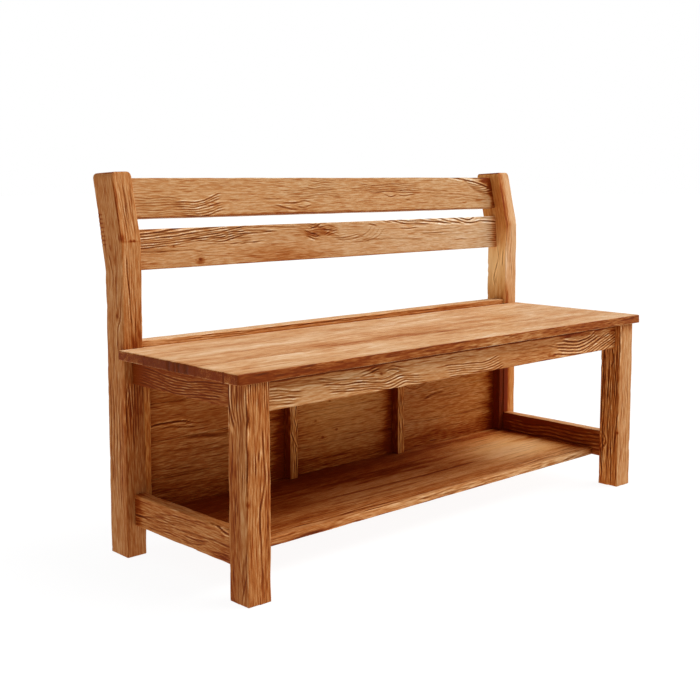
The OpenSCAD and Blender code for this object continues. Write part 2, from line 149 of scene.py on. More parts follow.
class Graph:
    """Nodes of one material, with short calls for what the materials need."""

    def __init__(self, name):
        self.material = bpy.data.materials.new(name)
        self.material.use_nodes = True
        self.tree = self.material.node_tree
        self.shader = self.tree.nodes["Principled BSDF"]

    def node(self, kind, inputs=(), **settings):
        made = self.tree.nodes.new("ShaderNode" + kind)
        for key, value in settings.items():
            setattr(made, key, value)
        for key, value in dict(inputs).items():
            self.feed(made.inputs[key], value)
        return made

    def feed(self, socket, value):
        if isinstance(value, bpy.types.NodeSocket):
            self.tree.links.new(value, socket)
        else:
            socket.default_value = value

    def shade(self, **inputs):
        """Feeds the shader's inputs, which are named with low lines for spaces."""
        for key, value in inputs.items():
            self.feed(self.shader.inputs[key.replace("_", " ")], value)

    def math(self, operation, a, b=0.0):
        return self.node("Math", {0: a, 1: b}, operation=operation).outputs[0]

    def add(self, a, b):
        return self.math("ADD", a, b)

    def less(self, a, b):
        return self.math("SUBTRACT", a, b)

    def times(self, a, b):
        return self.math("MULTIPLY", a, b)

    def parts(self, vector):
        return self.node("SeparateXYZ", {0: vector}).outputs

    def noise(self, vector, along, across, through, detail=2.0, roughness=0.5):
        """Noise with so many waves to the metre in each direction."""
        stretched = self.node("VectorMath", {0: vector, 1: (along, across, through)}, operation="MULTIPLY")
        return self.node("TexNoise", {"Vector": stretched.outputs[0], "Scale": 1.0, "Detail": detail,
                                      "Roughness": roughness}).outputs["Fac"]

    def attribute(self, name, output="Fac"):
        return self.node("Attribute", attribute_name=name).outputs[output]

    def span(self, value, low, high, to_low=0.0, to_high=1.0):
        return self.node("MapRange", {"Value": value, "From Min": low, "From Max": high,
                                      "To Min": to_low, "To Max": to_high}).outputs["Result"]

    def mix(self, factor, a, b, blend="MIX"):
        made = self.node("Mix", data_type="RGBA", blend_type=blend)
        self.feed(made.inputs["Factor"], factor)
        self.feed(made.inputs[6], a)
        self.feed(made.inputs[7], b)
        return made.outputs[2]

    def ramp(self, value, *stops):
        made = self.node("ValToRGB", {"Fac": value})
        elements = made.color_ramp.elements
        while len(elements) < len(stops):
            elements.new(0.5)
        for element, (position, level) in zip(elements, stops):
            element.position = position
            element.color = (level, level, level, 1.0)
        return made.outputs["Color"]


def wood_material(name, ring_strength, mottling, streaks, fibres, bump, roughness, shine):
    """Stained softwood. One stain level per point, raised by rings, streaks, fibres and knots, deepens
    the pale base wood as a stain's thickness does. The level and the warmth also carry painted shade
    and light from the boards."""
    g = Graph(name)
    grain = g.attribute("grain", "Vector")
    stain, redness, contrast = g.parts(g.attribute("look", "Vector"))

    def noise(along, across, detail=2.0, rough=0.5):
        return g.noise(grain, along, across, across, detail, rough)

    # Rings: light earlywood that darkens slowly, a dark line, and a pale ridge after it
    phase = g.add(g.attribute("ring"), g.span(noise(14, 170, 3.0, 0.6), 0, 1, -0.22, 0.22))
    turn = g.math("FRACT", phase)
    chance = g.node("TexWhiteNoise", {"W": g.math("FLOOR", phase)}, noise_dimensions="1D").outputs["Value"]
    patchy = g.span(noise(9, 40), 0.3, 0.7, 0.45, 1.25)
    brushed = g.times(contrast, g.add(g.times(contrast, 0.7), 0.6))
    strength = g.times(g.times(g.span(chance, 0, 1, 0.45, 1.0), patchy), brushed)
    dark = g.times(g.ramp(turn, *RING_LINE), strength)
    pale = g.times(g.ramp(turn, *RING_RIDGE), strength)

    # Reddish streaks, broad mottling, coarse and fine fibres, short dark dashes, and the drawn lines
    streak = g.times(g.span(noise(2.2, 42, 3.0, 0.55), 0.47, 0.74), redness)
    mottle = g.span(noise(6, 17, 3.0, 0.6), 0.3, 0.7, -mottling, mottling)
    coarse = g.span(noise(13, 95), 0.3, 0.7, -streaks, streaks)
    fibre = g.span(noise(42, 400, 2.0, 0.55), 0.37, 0.63, -fibres, fibres)
    dash = g.span(noise(15, 340, 1.0), 0.61, 0.71, 0.0, 0.7)
    drawn = g.times(g.attribute("stroke"), g.span(noise(48, 150, 3.0, 0.6), 0.3, 0.7, 0.65, 1.65))
    level = g.add(g.add(mottle, fibre), g.add(dash, streak))
    level = g.add(g.add(level, coarse), g.times(drawn, 0.8))
    level = g.add(level, g.times(dark, 0.7 * ring_strength))
    level = g.less(level, g.times(pale, 0.3 * ring_strength))

    # Knots: a dark ragged core in a stained halo
    across, along, weight = g.parts(g.attribute("knot", "Vector"))
    flat = g.node("CombineXYZ", {0: across, 1: along}).outputs[0]
    reach = g.node("VectorMath", {0: flat}, operation="LENGTH").outputs["Value"]
    reach = g.add(reach, g.span(noise(60, 190, 4.0, 0.7), 0.2, 0.8, -0.8, 0.8))
    core = g.ramp(reach, (0.0, 1.0), (0.55, 0.7), (1.0, 0.0))
    halo = g.ramp(g.times(reach, 0.4), (0.0, 1.0), (0.4, 0.55), (1.0, 0.0))
    knotty = g.times(g.add(core, g.times(halo, 0.3)), weight)
    level = g.add(level, g.times(knotty, 0.7))

    # Colour: the stain's depth and warmth, ridges rubbed pale with a painted highlight, and grooves that
    # hold old dirt and painted shade
    depth = g.times(stain, g.add(level, 1.0))
    depth = g.math("MINIMUM", g.math("MAXIMUM", depth, DEPTH_SPAN[0]), DEPTH_SPAN[1])
    wood = g.node("Gamma", {"Color": BASE_WOOD, "Gamma": depth}).outputs[0]
    warmth = g.add(g.attribute("warm"), g.span(noise(4, 18), 0.3, 0.7, -0.35, 0.35))
    wood = g.mix(1.0, wood, g.mix(g.span(warmth, *WARMTH_SPAN), COOL_TINT, WARM_TINT), "MULTIPLY")
    # Pale flanks of the drawn lines: rubbed wear, and a painted highlight on the ridges
    wood = g.mix(1.0, wood, g.mix(g.span(drawn, -0.5, 0.0, 1.0, 0.0), WHITE, RUBBED_PALE_AND_HIGHLIGHT), "MULTIPLY")
    # Drawn lines, ring lines and knots go toward a near-black brown: old dirt, and painted shade in the
    # grooves
    dirt_and_shade = g.add(drawn, g.times(dark, 0.45 * ring_strength))
    dirt_and_shade = g.add(dirt_and_shade, g.times(knotty, 0.45))

    height = g.less(g.times(fibre, -1.2), g.times(dark, 0.8))
    height = g.less(height, g.times(g.add(coarse, drawn), 0.8))
    height = g.less(height, g.times(g.times(core, weight), 0.6))
    relief = g.node("Bump", {"Height": height, "Strength": bump, "Distance": FINE_RELIEF})
    g.shade(Base_Color=g.mix(g.span(dirt_and_shade, 0.0, 1.4, 0.0, 0.62), wood, GROOVE_DIRT_AND_SHADE), Specular_IOR_Level=shine,
            Roughness=g.add(g.span(dark, 0, 1, roughness, roughness + 0.1), g.times(fibre, 0.3)),
            Normal=relief.outputs[0])
    return g.material


def steel_material(name):
    """Brushed steel for the screws."""
    g = Graph(name)
    brushed = g.noise(g.node("TexCoord").outputs["Object"], 900, 900, 120, 3.0)
    g.shade(Base_Color=g.mix(brushed, (0.42, 0.40, 0.37, 1), (0.62, 0.60, 0.56, 1)),
            Roughness=g.span(brushed, 0, 1, 0.3, 0.5), Metallic=1.0)
    return g.material


def dowel_material(name):
    """Plain beech-like wood for the dowels, which no view shows."""
    g = Graph(name)
    fibre = g.noise(g.node("TexCoord").outputs["Object"], 40, 700, 700, 3.0)
    g.shade(Base_Color=g.mix(fibre, (0.50, 0.32, 0.18, 1), (0.68, 0.46, 0.27, 1)), Roughness=0.6)
    return g.material


def smooth(value, low, high):
    t = np.clip((value - low) / (high - low), 0, 1)
    return t * t * (3 - 2 * t)


def waves(timber, kind, points):
    """Smooth noise of about unit size at the points, from one kind of the board's waves."""
    offset, lengths, count = WAVES[kind]
    rng = np.random.default_rng(timber.seed + offset)
    total = np.zeros(len(points))
    for _ in range(count):
        turn = rng.normal(size=3) / np.array(lengths, float) * 2 * math.pi / math.sqrt(3)
        total += np.sin(points @ turn + rng.uniform(0, 2 * math.pi))
    return total * math.sqrt(2 / count)


def grid_lines(length, pitch, rim, extra=()):
    """Grid lines from 0 to length about pitch apart, closer together within rim of each end."""
    count = max(2, int(round((length - 2 * rim) / pitch)) + 1)
    middle = np.linspace(rim, length - rim, count)
    ends = rim * np.array(RIM_LINES)
    return np.unique(np.concatenate([ends, middle, length - ends, np.array(extra, float)]))


def box_grid(us, vs, ws):
    """Points and quads on the surface of a box cut along these lines."""
    inside = np.ones((len(us), len(vs), len(ws)), bool)
    inside[[0, -1]] = inside[:, [0, -1]] = inside[:, :, [0, -1]] = False
    number = np.full(inside.shape, -1)
    number[~inside] = np.arange((~inside).sum())
    points = np.stack(np.meshgrid(us, vs, ws, indexing="ij"), -1)[~inside]
    quads = []
    for axis in range(3):
        for end in (0, -1):
            side = np.take(number, end, axis)
            quad = np.stack([side[:-1, :-1], side[1:, :-1], side[1:, 1:], side[:-1, 1:]], -1).reshape(-1, 4)
            if (end == 0) != (axis == 1):
                quad = quad[:, ::-1]
            quads.append(quad)
    return points, np.concatenate(quads)


class Timber:
    """How one board was sawn, stained and brushed, and the light and shade painted on it. Places are
    millimetres of the board or, for boards that share one figure, of the whole panel: along the grain,
    across it and in from the face that the photograph shows. A patch is (side, along, across, reach
    along, reach across, amount): side is a key of PATCH_AXES, and the amount is added contrast in
    brushed, added stain in spots, added warmth in glows, added dirt and painted shadow in smears, and
    millimetres in dents and in hills, which bend the rings; some spots are painted shade or painted
    light, and some glows painted warm light in shade. A knot is (side, along, across, radius, weight).
    A stroke is one grain line, as strokes() makes them. The shade and the side tint are (axis, 1 for
    its far side or 0, amount): a factor on the stain, and added warmth, each over a whole side; they
    are partly the side's own finish and partly painted shade and light, where a side looks darker,
    lighter or warmer as light falls on it. Sharp sides, (axis, 1 or 0), are joint sides. Fade is a
    factor on the stain at each end. Contrast, and patchy by chance, are how strongly rings show, and
    red how strongly red streaks do. Pith and spacing place the rings, and sway, tilt and ripple bend
    them. Relief, wear and wave are the depths of brushed grooves, worn arrises and plane marks, jagged
    adds chips, and grime darkens the ends. Pitch is that of the board's grid, along and across."""

    def __init__(self, seed, stain, **changes):
        self.seed = seed
        self.stain = stain
        self.across = 0.0
        self.fade = (1.0, 1.0)
        self.red = 0.1
        self.warm = 0.0
        self.contrast = 0.3
        self.patchy = 0.2
        self.pith = (102, 45)
        self.spacing = 5.5
        self.sway = (3, 6)
        self.tilt = (0.0, 0.0)
        self.ripple = 1.2
        self.relief = 0.5
        self.wear = 2.2
        self.jagged = 0.6
        self.wave = 0.35
        self.grime = 0.3
        self.pitch = (6.0, 1.6)
        for kind in ("knots", "brushed", "hills", "spots", "dents", "shade", "strokes", "tints", "glows",
                     "smears", "sharp_sides"):
            setattr(self, kind, ())
        for key, value in changes.items():
            assert hasattr(self, key), key
            setattr(self, key, value)


def on(side, *patches):
    """Patches or knots on one side."""
    return tuple((side, *patch) for patch in patches)


def strokes(side, width, amount, path, count=1, du=0.0, dt=0.0):
    """Copies of one grain line, each moved on by du along the board and dt across it. The path is the
    line's points, along and across by turns."""
    step = np.tile((du, dt), len(path) // 2)
    return tuple((side, width, amount * (0.85 + 0.25 * math.cos(2.4 * k)), np.array(path, float) + k * step)
                 for k in range(count))


def lines(side, *drawn):
    """Strokes on one side: each of the drawn is what strokes() takes after the side."""
    return sum((strokes(side, *line) for line in drawn), ())


def flecks(side, seed, count, us, ts, reach=40, width=1.5, amount=0.6, slope=0.03):
    """Short grain lines strewn over part of a face: between us along the board and ts across it."""
    rng = np.random.default_rng(seed)
    strewn = ()
    for _ in range(count):
        u, t, long = rng.uniform(*us), rng.uniform(*ts), reach * rng.uniform(0.4, 1.6)
        strength = amount * rng.uniform(0.4, 1.2)
        strewn += strokes(side, width, strength, (u, t, u + long, t + slope * long * rng.normal()))
    return strewn


def patch_level(place, patch, ragged=0.0):
    """How strongly a patch acts at each point: full in its middle, none beyond its reach or deep inside."""
    side, u, t, reach_u, reach_t, amount = patch
    along, across, inward, deep = PATCH_AXES[side]
    far = ((place[:, along] - u) / reach_u) ** 2 + ((place[:, across] - t) / reach_t) ** 2
    if min(reach_u, reach_t) > THIN_PATCH:
        far = far * np.exp(ragged * min(1, RAGGED_REACH / min(reach_u, reach_t)))
    else:
        deep = min(deep, 2 * min(reach_u, reach_t))
    return amount * np.exp(-far ** 1.3) * np.exp(-(place[:, inward] / deep) ** 2)


def stroke_level(place, stroke):
    """How dark a stroke makes each point: dark along its path, a grain line deepened by painted groove
    shade, and pale just beside it, rubbed wear with a painted highlight.
    """
    side, width, amount, path = stroke
    _, across, inward, _ = PATCH_AXES[side]
    u = place[:, 0]
    steps = (-STROKE_STEP, 0, STROKE_STEP)
    before, at, after = (np.interp(u + step, path[::2], path[1::2]) for step in steps)
    middle = (before + at + after) / 3 + WAVER * np.sin(u / WAVER_LENGTH + path[1])
    off = (place[:, across] - middle) / np.hypot(1, (after - before) / (2 * STROKE_STEP)) / width
    outer, inner = STROKE_FADE
    inside = smooth(u, path[0] - outer, path[0] + inner) * (1 - smooth(u, path[-2] - inner, path[-2] + outer))
    level = amount * np.exp(-off ** 2) - 0.45 * amount ** 2 * np.exp(-1.5 * (np.abs(off) - 1.9) ** 2)
    return inside * level * np.exp(-(place[:, inward] / STROKE_DEPTH) ** 2)


def knot_places(timber, place):
    """Offsets from the nearest knot in its radii, its weight, and the points drawn in round the knots."""
    spot = np.full((len(place), 3), NO_KNOT)
    drawn = place.copy()
    nearest = np.full(len(place), KNOT_REACH)
    long_bend, wide_bend = KNOT_BEND
    for side, u, t, radius, weight in timber.knots:
        _, across, inward, deep = PATCH_AXES[side]
        du = place[:, 0] - u
        dt = place[:, across] - t
        reach = np.hypot(du / (KNOT_LENGTH * radius), dt / radius)
        pull = np.exp(-np.hypot(du / (long_bend * radius), dt / (wide_bend * radius)) ** 2)
        drawn[:, across] -= 0.75 * dt * pull
        drawn[:, inward] += 0.8 * radius * pull
        close = reach < nearest
        spot[close, 0] = du[close] / (KNOT_LENGTH * radius)
        spot[close, 1] = dt[close] / radius
        spot[close, 2] = weight * np.exp(-(place[close, inward] / deep) ** 2)
        nearest = np.where(close, reach, nearest)
    return spot, drawn


def ring_count(timber, length, place, curled):
    """Growth rings between the pith and each point. The pith lies off the board and sways along it."""
    u = place * np.array([[1.0, 0, 0]])
    along = place[:, 0] / length - 0.5
    across, inward = (
        place[:, 1 + k] - timber.pith[k] - timber.sway[k] * waves(timber, kind, u) - timber.tilt[k] * along
        for k, kind in enumerate(("sway across", "sway inward")))
    radius = np.hypot(across, inward)
    for side, hill_u, t, reach_u, reach_t, amount in timber.hills:
        _, axis, depth_axis, deep = PATCH_AXES[side]
        far = ((place[:, 0] - hill_u) / reach_u) ** 2 + ((place[:, axis] - t) / reach_t) ** 2
        radius = radius + amount * np.exp(-far - (place[:, depth_axis] / deep / 1.5) ** 2)
    radius = radius + 1.5 * waves(timber, "uneven rings", place)
    radius = radius + timber.ripple * waves(timber, "ripple", place)
    return (radius + 1.1 * curled * waves(timber, "curl", place)) / timber.spacing


class Skin:
    """One board's surface, as arrays over its points in mm: flat on the plain box, local on the worn
    board, and place on the panel whose figure it shares."""

    def __init__(self, timber, size, extra):
        self.timber = timber
        self.size = size
        rim = min(RIM, 0.3 * size.min())
        along, across = timber.pitch
        grids = [grid_lines(size[0], along, rim, extra)] + [grid_lines(size[k], across, rim) for k in (1, 2)]
        self.flat, self.quads = box_grid(*grids)
        self.round_arrises()
        self.place = self.local + np.array([0.0, timber.across, 0.0])
        self.side_grain = 1 - smooth(np.abs(self.normal[:, 0]), *SIDE_GRAIN_SPAN)
        self.draw_figure()
        self.local = self.local - self.normal * self.relief()[:, None]

    def levels(self, patches, edges=0.0):
        return [patch_level(self.place, patch, edges) for patch in patches]

    def toward(self, axis, end):
        """How far each point looks to one side of the board."""
        return smooth(self.normal[:, axis] if end else -self.normal[:, axis], *TOWARD_SPAN)

    def round_arrises(self):
        """Arrises rounded by wear, more in some places than in others; joint sides stay sharp."""
        timber, flat, size = self.timber, self.flat, self.size
        corner = np.where(flat > size / 2, 1.0, 0.0) @ np.array(ARRIS_SHIFTS)
        self.along = np.stack([flat[:, 0], corner, corner], 1)
        radius = timber.wear * (1 + 0.35 * waves(timber, "arris", self.along))
        radius += timber.jagged * timber.wear * smooth(waves(timber, "chip", self.along), 0.9, 2.0)
        radius = np.clip(radius, SHARP_RADIUS, 0.48 * size.min())
        for axis, end in timber.sharp_sides:
            near = flat[:, axis] > size[axis] - SHARP_REACH if end else flat[:, axis] < SHARP_REACH
            radius = np.where(near, SHARP_RADIUS, radius)
        radius = radius[:, None]
        core = np.clip(flat, radius, size - radius)
        out = flat - core
        self.normal = out / np.linalg.norm(out, axis=1)[:, None]
        self.local = core + radius * self.normal

    def draw_figure(self):
        """Rings, knots and drawn lines. Where the wire brush has bitten, rings curl and stand out."""
        timber, place = self.timber, self.place
        self.ragged = 0.55 * waves(timber, "ragged", place)
        brushed = sum(self.levels(timber.brushed, self.ragged), np.zeros(len(place)))
        by_chance = timber.patchy * smooth(waves(timber, "chance", place), 0.5, 1.9)
        self.figure = (timber.contrast + brushed + by_chance).clip(0, 1.7)
        self.knots, self.drawn = knot_places(timber, place)
        self.ring = ring_count(timber, self.size[0], self.drawn, brushed + 0.5 * by_chance)
        level = sum((stroke_level(place, stroke) for stroke in timber.strokes), np.zeros(len(place)))
        self.strokes = level.clip(-0.4, 1.4)
        # Strokes and smears darken toward the groove colour: old dirt, and painted shade and shadow
        self.dirt_and_shade = sum(self.levels(timber.smears, self.ragged), self.strokes)

    def relief(self):
        """Grooves where the soft wood is brushed out, slow hand-planed waves, and sunk lines and knots."""
        timber = self.timber
        turn = self.ring - np.floor(self.ring)
        groove = smooth(turn, *GROOVE_SINKS) * (1 - smooth(turn, *GROOVE_RISES))
        depth = timber.relief * np.clip(self.figure, 0, 1.4) * self.side_grain * groove
        depth += timber.wave * (0.5 + 0.5 * waves(timber, "plane", self.place)).clip(0, 2)
        depth += 0.6 * timber.relief * self.strokes.clip(-0.3, 1.2)
        depth = sum(self.levels(timber.dents), depth)
        knot_reach = np.linalg.norm(self.knots[:, :2], axis=1)
        depth += 0.5 * timber.relief * np.exp(-(knot_reach - 1) ** 2 * 6) * self.knots[:, 2]
        for axis, end in timber.sharp_sides:
            depth *= (self.normal[:, axis] < 0.9) if end else (self.normal[:, axis] > -0.9)
        return depth.clip(0)

    def stain(self):
        """The board's own level, its fade along the grain, its sides, spots, ends and worn arrises."""
        timber, length = self.timber, self.size[0]
        start, end = timber.fade
        stain = timber.stain * (start + (end - start) * np.clip(self.local[:, 0] / length, 0, 1))
        # Whole sides made darker or lighter through the stain: partly the side's own finish, and partly
        # painted shade and painted light, as light falls on that side
        for axis, far, factor in timber.shade:
            stain *= 1 + (factor - 1) * self.toward(axis, far)
        # Spots add stain in patches; some of them are painted shade or painted light
        for level in self.levels(timber.spots, self.ragged):
            stain *= 1 + level
        to_end = np.minimum(self.local[:, 0], length - self.local[:, 0])
        stain *= 1 + timber.grime * np.exp(-(to_end / GRIME_REACH).clip(0)) * self.side_grain
        worn = (0.6 + 0.4 * waves(timber, "rubbing", self.along)).clip(0, 1.3)
        gaps = np.minimum(self.flat, self.size - self.flat)
        for axis, _ in timber.sharp_sides:
            gaps[:, axis] = self.size[axis]
        to_arris = np.sort(gaps, axis=1)[:, 1]
        stain *= 1 - RUBBED_SHARE * worn * np.exp(-(to_arris / RUBBED_REACH) ** 2)
        return stain * (1 + END_GRAIN_STAIN * (1 - self.side_grain))

    def warmth(self):
        warm = np.full(len(self.ring), float(self.timber.warm))
        # Whole sides warmed or cooled: partly their own tint, and partly painted bounce light; glows, added
        # last, are partly painted warm light in shade
        for axis, end, amount in self.timber.tints:
            warm += amount * self.toward(axis, end)
        return sum(self.levels(self.timber.glows), warm)

    def attributes(self):
        """What the material reads at each point, by name."""
        shift = np.random.default_rng(self.timber.seed).uniform(-2, 2, 3)
        stain = self.stain()
        look = np.stack([stain, np.full(len(stain), self.timber.red), self.figure], 1)
        return {"grain": self.drawn * MM + shift, "look": look, "knot": self.knots, "ring": self.ring,
                "warm": self.warmth(), "stroke": self.dirt_and_shade}


def make_mesh(name, points, quads):
    mesh = bpy.data.meshes.new(name)
    mesh.vertices.add(len(points))
    mesh.vertices.foreach_set("co", (points * MM).astype(np.float32).ravel())
    mesh.loops.add(4 * len(quads))
    mesh.loops.foreach_set("vertex_index", quads.astype(np.int32).ravel())
    mesh.polygons.add(len(quads))
    mesh.polygons.foreach_set("loop_start", np.arange(0, 4 * len(quads), 4, dtype=np.int32))
    mesh.update(calc_edges=True)
    mesh.validate()
    mesh.shade_smooth()
    return mesh


def make_board(node, slot, size, origin, axes, timber, shape=None, extra=()):
    """A worn board in place of a node: size in mm along its grain, across it and through it; axes are
    those directions."""
    skin = Skin(timber, np.array(size, float), extra)
    axes = np.array(axes, float)
    points = np.array(origin, float) / MM + skin.local @ axes
    if shape is not None:
        points = shape(points)
    quads = skin.quads[:, ::-1] if np.linalg.det(axes) < 0 else skin.quads
    mesh = make_mesh(node + "_wood", points, quads)
    for key, values in skin.attributes().items():
        kind, field = ("FLOAT_VECTOR", "vector") if values.ndim == 2 else ("FLOAT", "value")
        mesh.attributes.new(key, kind, "POINT").data.foreach_set(field, values.astype(np.float32).ravel())
    mesh.materials.append(WOODS[slot])
    piece = bpy.data.objects.new(node + "_wood", mesh)
    bpy.context.scene.collection.objects.link(piece)
    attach(piece, "root")
    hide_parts(node)
    return piece


def box(node, axis=0, ends=(None, None)):
    """The node's box in metres, with other ends along one axis where they are given."""
    low, high = (np.array(corner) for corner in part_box(node))
    for corner, end in zip((low, high), ends):
        if end is not None:
            corner[axis] = end
    return low, high


def board(node, along, face, timber, slot, bounds=None, shape=None, extra=()):
    """A board that fills the bounds, which are the node's own box by default. Its grain runs along one
    axis, and its depth is measured in from the named face."""
    low, high = bounds or box(node)
    depth_axis = "xyz".index(face[1])
    along_axis = "xyz".index(along)
    across_axis = 3 - depth_axis - along_axis
    unit = np.eye(3)
    depth = unit[depth_axis] * (-1 if face[0] == "+" else 1)
    origin = low.copy()
    if face[0] == "+":
        origin[depth_axis] = high[depth_axis]
    size = (high - low)[[along_axis, across_axis, depth_axis]] / MM
    axes = (unit[along_axis], unit[across_axis], depth)
    return make_board(node, slot, size, origin, axes, timber, shape, extra)


# Woods: ring strength, mottling, streaks, fibres, bump, roughness and shine
WOODS = {SEAT: wood_material("seat wood", 0.4, 0.24, 0.18, 0.19, 0.45, 0.5, 0.04),
         FRAME: wood_material("frame wood", 1.0, 0.04, 0.03, 0.19, 0.7, 0.6, 0.04),
         BACK: wood_material("back wood", 1.0, 0.08, 0.1, 0.26, 0.9, 0.65, 0.03)}

# Boxes of the CAD frame that the boards meet, in metres, and the gaps that rails fill, with their bite
left_post_low, left_post_high = box("rear_left_post")
right_post_low, right_post_high = box("rear_right_post")
left_leg_high = box("front_left_leg")[1]
right_leg_low = box("front_right_leg")[0]
post_front = left_post_low[1]
post_inner = right_post_low[0]
POST_TO_POST = (-post_inner - BITE, post_inner + BITE)
LEG_TO_LEG = (left_leg_high[0] - BITE, right_leg_low[0] + BITE)
LEG_TO_POST = (left_leg_high[1] - BITE, post_front + BITE)

# Heights of the marks that a plane's chatter left on the left post, and of the cuts round each, in mm
CHATTER = range(671, 742, 9)
CHATTER_CUTS = tuple(z + d for z in CHATTER for d in (-2.2, -1, 0, 1, 2.2))

# Painted light and shade: its left side is warmed as a whole, partly as painted bounce light, and the spot at
# 360 along on its face darkens it under the seat as painted shade
LEFT_POST = Timber(
    11, 2.7, red=0.12, contrast=0.25, patchy=0.15, pith=(-43, 40), spacing=5.0, sway=(3, 4), tilt=(8, 6),
    grime=0.1, tints=((1, 0, 0.9),),
    knots=on("side", (521, 24, 4, 0.7)), glows=on("face", (320, 8, 100, 12, 1.5)),
    hills=on("side", (520, 22, 45, 11, 4)), dents=tuple(("side", z, 61, 1.8, 8, 0.8) for z in CHATTER),
    strokes=lines("side", (1.8, 0.7, (448, 24, 490, 23, 505, 17, 518, 8, 545, 8, 575, 6)),
        (1.8, 0.45, (535, 22, 560, 25, 600, 24, 650, 21, 670, 22)),
        (2.2, 0.45, (578, 39, 600, 35, 625, 40, 650, 44)),
        (2.0, 0.5, (100, 20, 180, 24, 260, 20, 330, 26), 4, 20, 11))
    + lines("face", (1.6, 0.8, (500, 21, 560, 17, 600, 14, 645, 11)),
        (1.3, 0.4, (690, 36, 740, 33, 790, 31), 3, 6, -9),
        (1.3, 0.35, (470, 30, 520, 31, 590, 28), 3, -10, -8),
        (1.4, 0.9, (290, 3, 335, 4, 362, 6, 376, 9), 2, -26, 2.4),
        (1.4, 0.9, (300, 16, 340, 14, 362, 12, 376, 9), 2, -26, -2),
        (1.4, 0.6, (240, 22, 300, 20, 360, 19, 400, 17), 3, 14, 6))
    + flecks("side", 3, 30, (90, 440), (4, 62), 60, 1.6, 0.4)
    + flecks("face", 4, 26, (90, 780), (3, 45), 50, 1.4, 0.4),
    brushed=on("side", (540, 22, 90, 14, 0.3), (120, 30, 160, 30, 0.1)) + on("face", (740, 30, 70, 30, 0.2)),
    spots=on("side", (750, 0, 78, 2.2, 0.9)) + on("face", (750, 0, 78, 1.6, 0.5))
    + on("side", (600, 0, 60, 1.2, 0.4), (683, 4, 6, 4, 0.8), (665, 38, 4, 3, 0.8), (640, 27, 12, 4, 0.4))
    + on("face", (676, 24, 1.6, 24, 0.35), (677, 23, 2.6, 2.5, 1.2), (677, 31, 2.8, 3, 1.5),
        (448, 24, 26, 40, 0.3), (360, 34, 90, 18, 0.3), (230, 24, 230, 70, 0.36))
    + on("side", (230, 0, 230, 1.4, 0.4)) + tuple(("side", z, 60, 1.8, 9, 0.7) for z in CHATTER))
# Painted light and shade: its left side is made paler and warmer as a whole, the spot at 555 along lightens
# it further, and the smear, glows and spots at 220 along darken and warm its lower part as painted shade
# under the seat
RIGHT_POST = Timber(
    12, 1.5, warm=1.0, contrast=0.25, patchy=0.1, pith=(-34, 50), spacing=5.4, sway=(3, 3), tilt=(-4, 4),
    ripple=0.6, jagged=1.2, grime=0.1, shade=((1, 0, 0.42),), tints=((1, 0, 2.6),),
    brushed=on("face", (760, 10, 60, 14, 0.3)), smears=on("side", (220, 33, 230, 70, 0.5)),
    glows=on("side", (742, 20, 100, 80, 1.4), (220, 33, 230, 70, 0.8)) + on("face", (220, 24, 230, 70, 2.7)),
    strokes=lines("side", (2.0, 0.9, (500, 36, 515, 42, 530, 41, 548, 36, 575, 28)),
        (2.0, 0.9, (556, 13, 580, 11, 605, 9)), (2.5, 0.8, (505, 34, 518, 37, 526, 34)),
        (1.6, 0.6, (575, 24, 600, 28, 615, 30)))
    + lines("face", (1.5, 0.6, (520, 30, 560, 26, 600, 22, 660, 26), 3, 20, -9)),
    spots=on("side", (742, 20, 100, 80, 2.3), (555, 30, 90, 80, -0.55), (220, 33, 230, 70, 6.5))
    + on("face", (220, 24, 230, 70, 0.35)))


def post_shape(side_low):
    """Leans the upper post back above the kinks, lets its top fall to the rear and rounds its corners."""
    height = left_post_high[2] / MM
    front = post_front / MM
    width = (left_post_high[0] - left_post_low[0]) / MM
    middle = side_low / MM + width / 2

    def shape(world):
        x, y, z = world.T.copy()
        part = np.clip((y - front) / POST_DEPTH, 0, 1)
        # Top corners: the square corner drawn onto an arc
        dx = np.abs(x - middle) - (width / 2 - TOP_ROUND)
        dz = z - (height - TOP_ROUND)
        corner = (dx > 0) & (dz > 0)
        pull = np.where(corner, np.maximum(dx, dz) / np.maximum(np.hypot(dx, dz), 1e-6), 1.0)
        x = np.where(corner, middle + np.sign(x - middle) * (width / 2 - TOP_ROUND + dx * pull), x)
        z = np.where(corner, height - TOP_ROUND + dz * pull, z)
        z = z - TOP_FALL * part * smooth(z, 0, height)
        front_move = np.maximum(0, z - KINK_FRONT) * math.tan(math.radians(FRONT_LEAN))
        rear_move = np.maximum(0, z - KINK_REAR) * math.tan(math.radians(REAR_LEAN))
        y = y + (1 - part) * front_move + part * rear_move
        return np.stack([x, y, z], 1)

    return shape


def posts():
    kinks = (KINK_REAR, KINK_FRONT)
    for node, timber, cuts in (("rear_left_post", LEFT_POST, kinks + CHATTER_CUTS),
                               ("rear_right_post", RIGHT_POST, kinks)):
        bounds = box(node, 1, (None, post_front + POST_DEPTH * MM))
        board(node, "z", "-y", timber, FRAME, bounds, post_shape(bounds[0][0]), cuts)
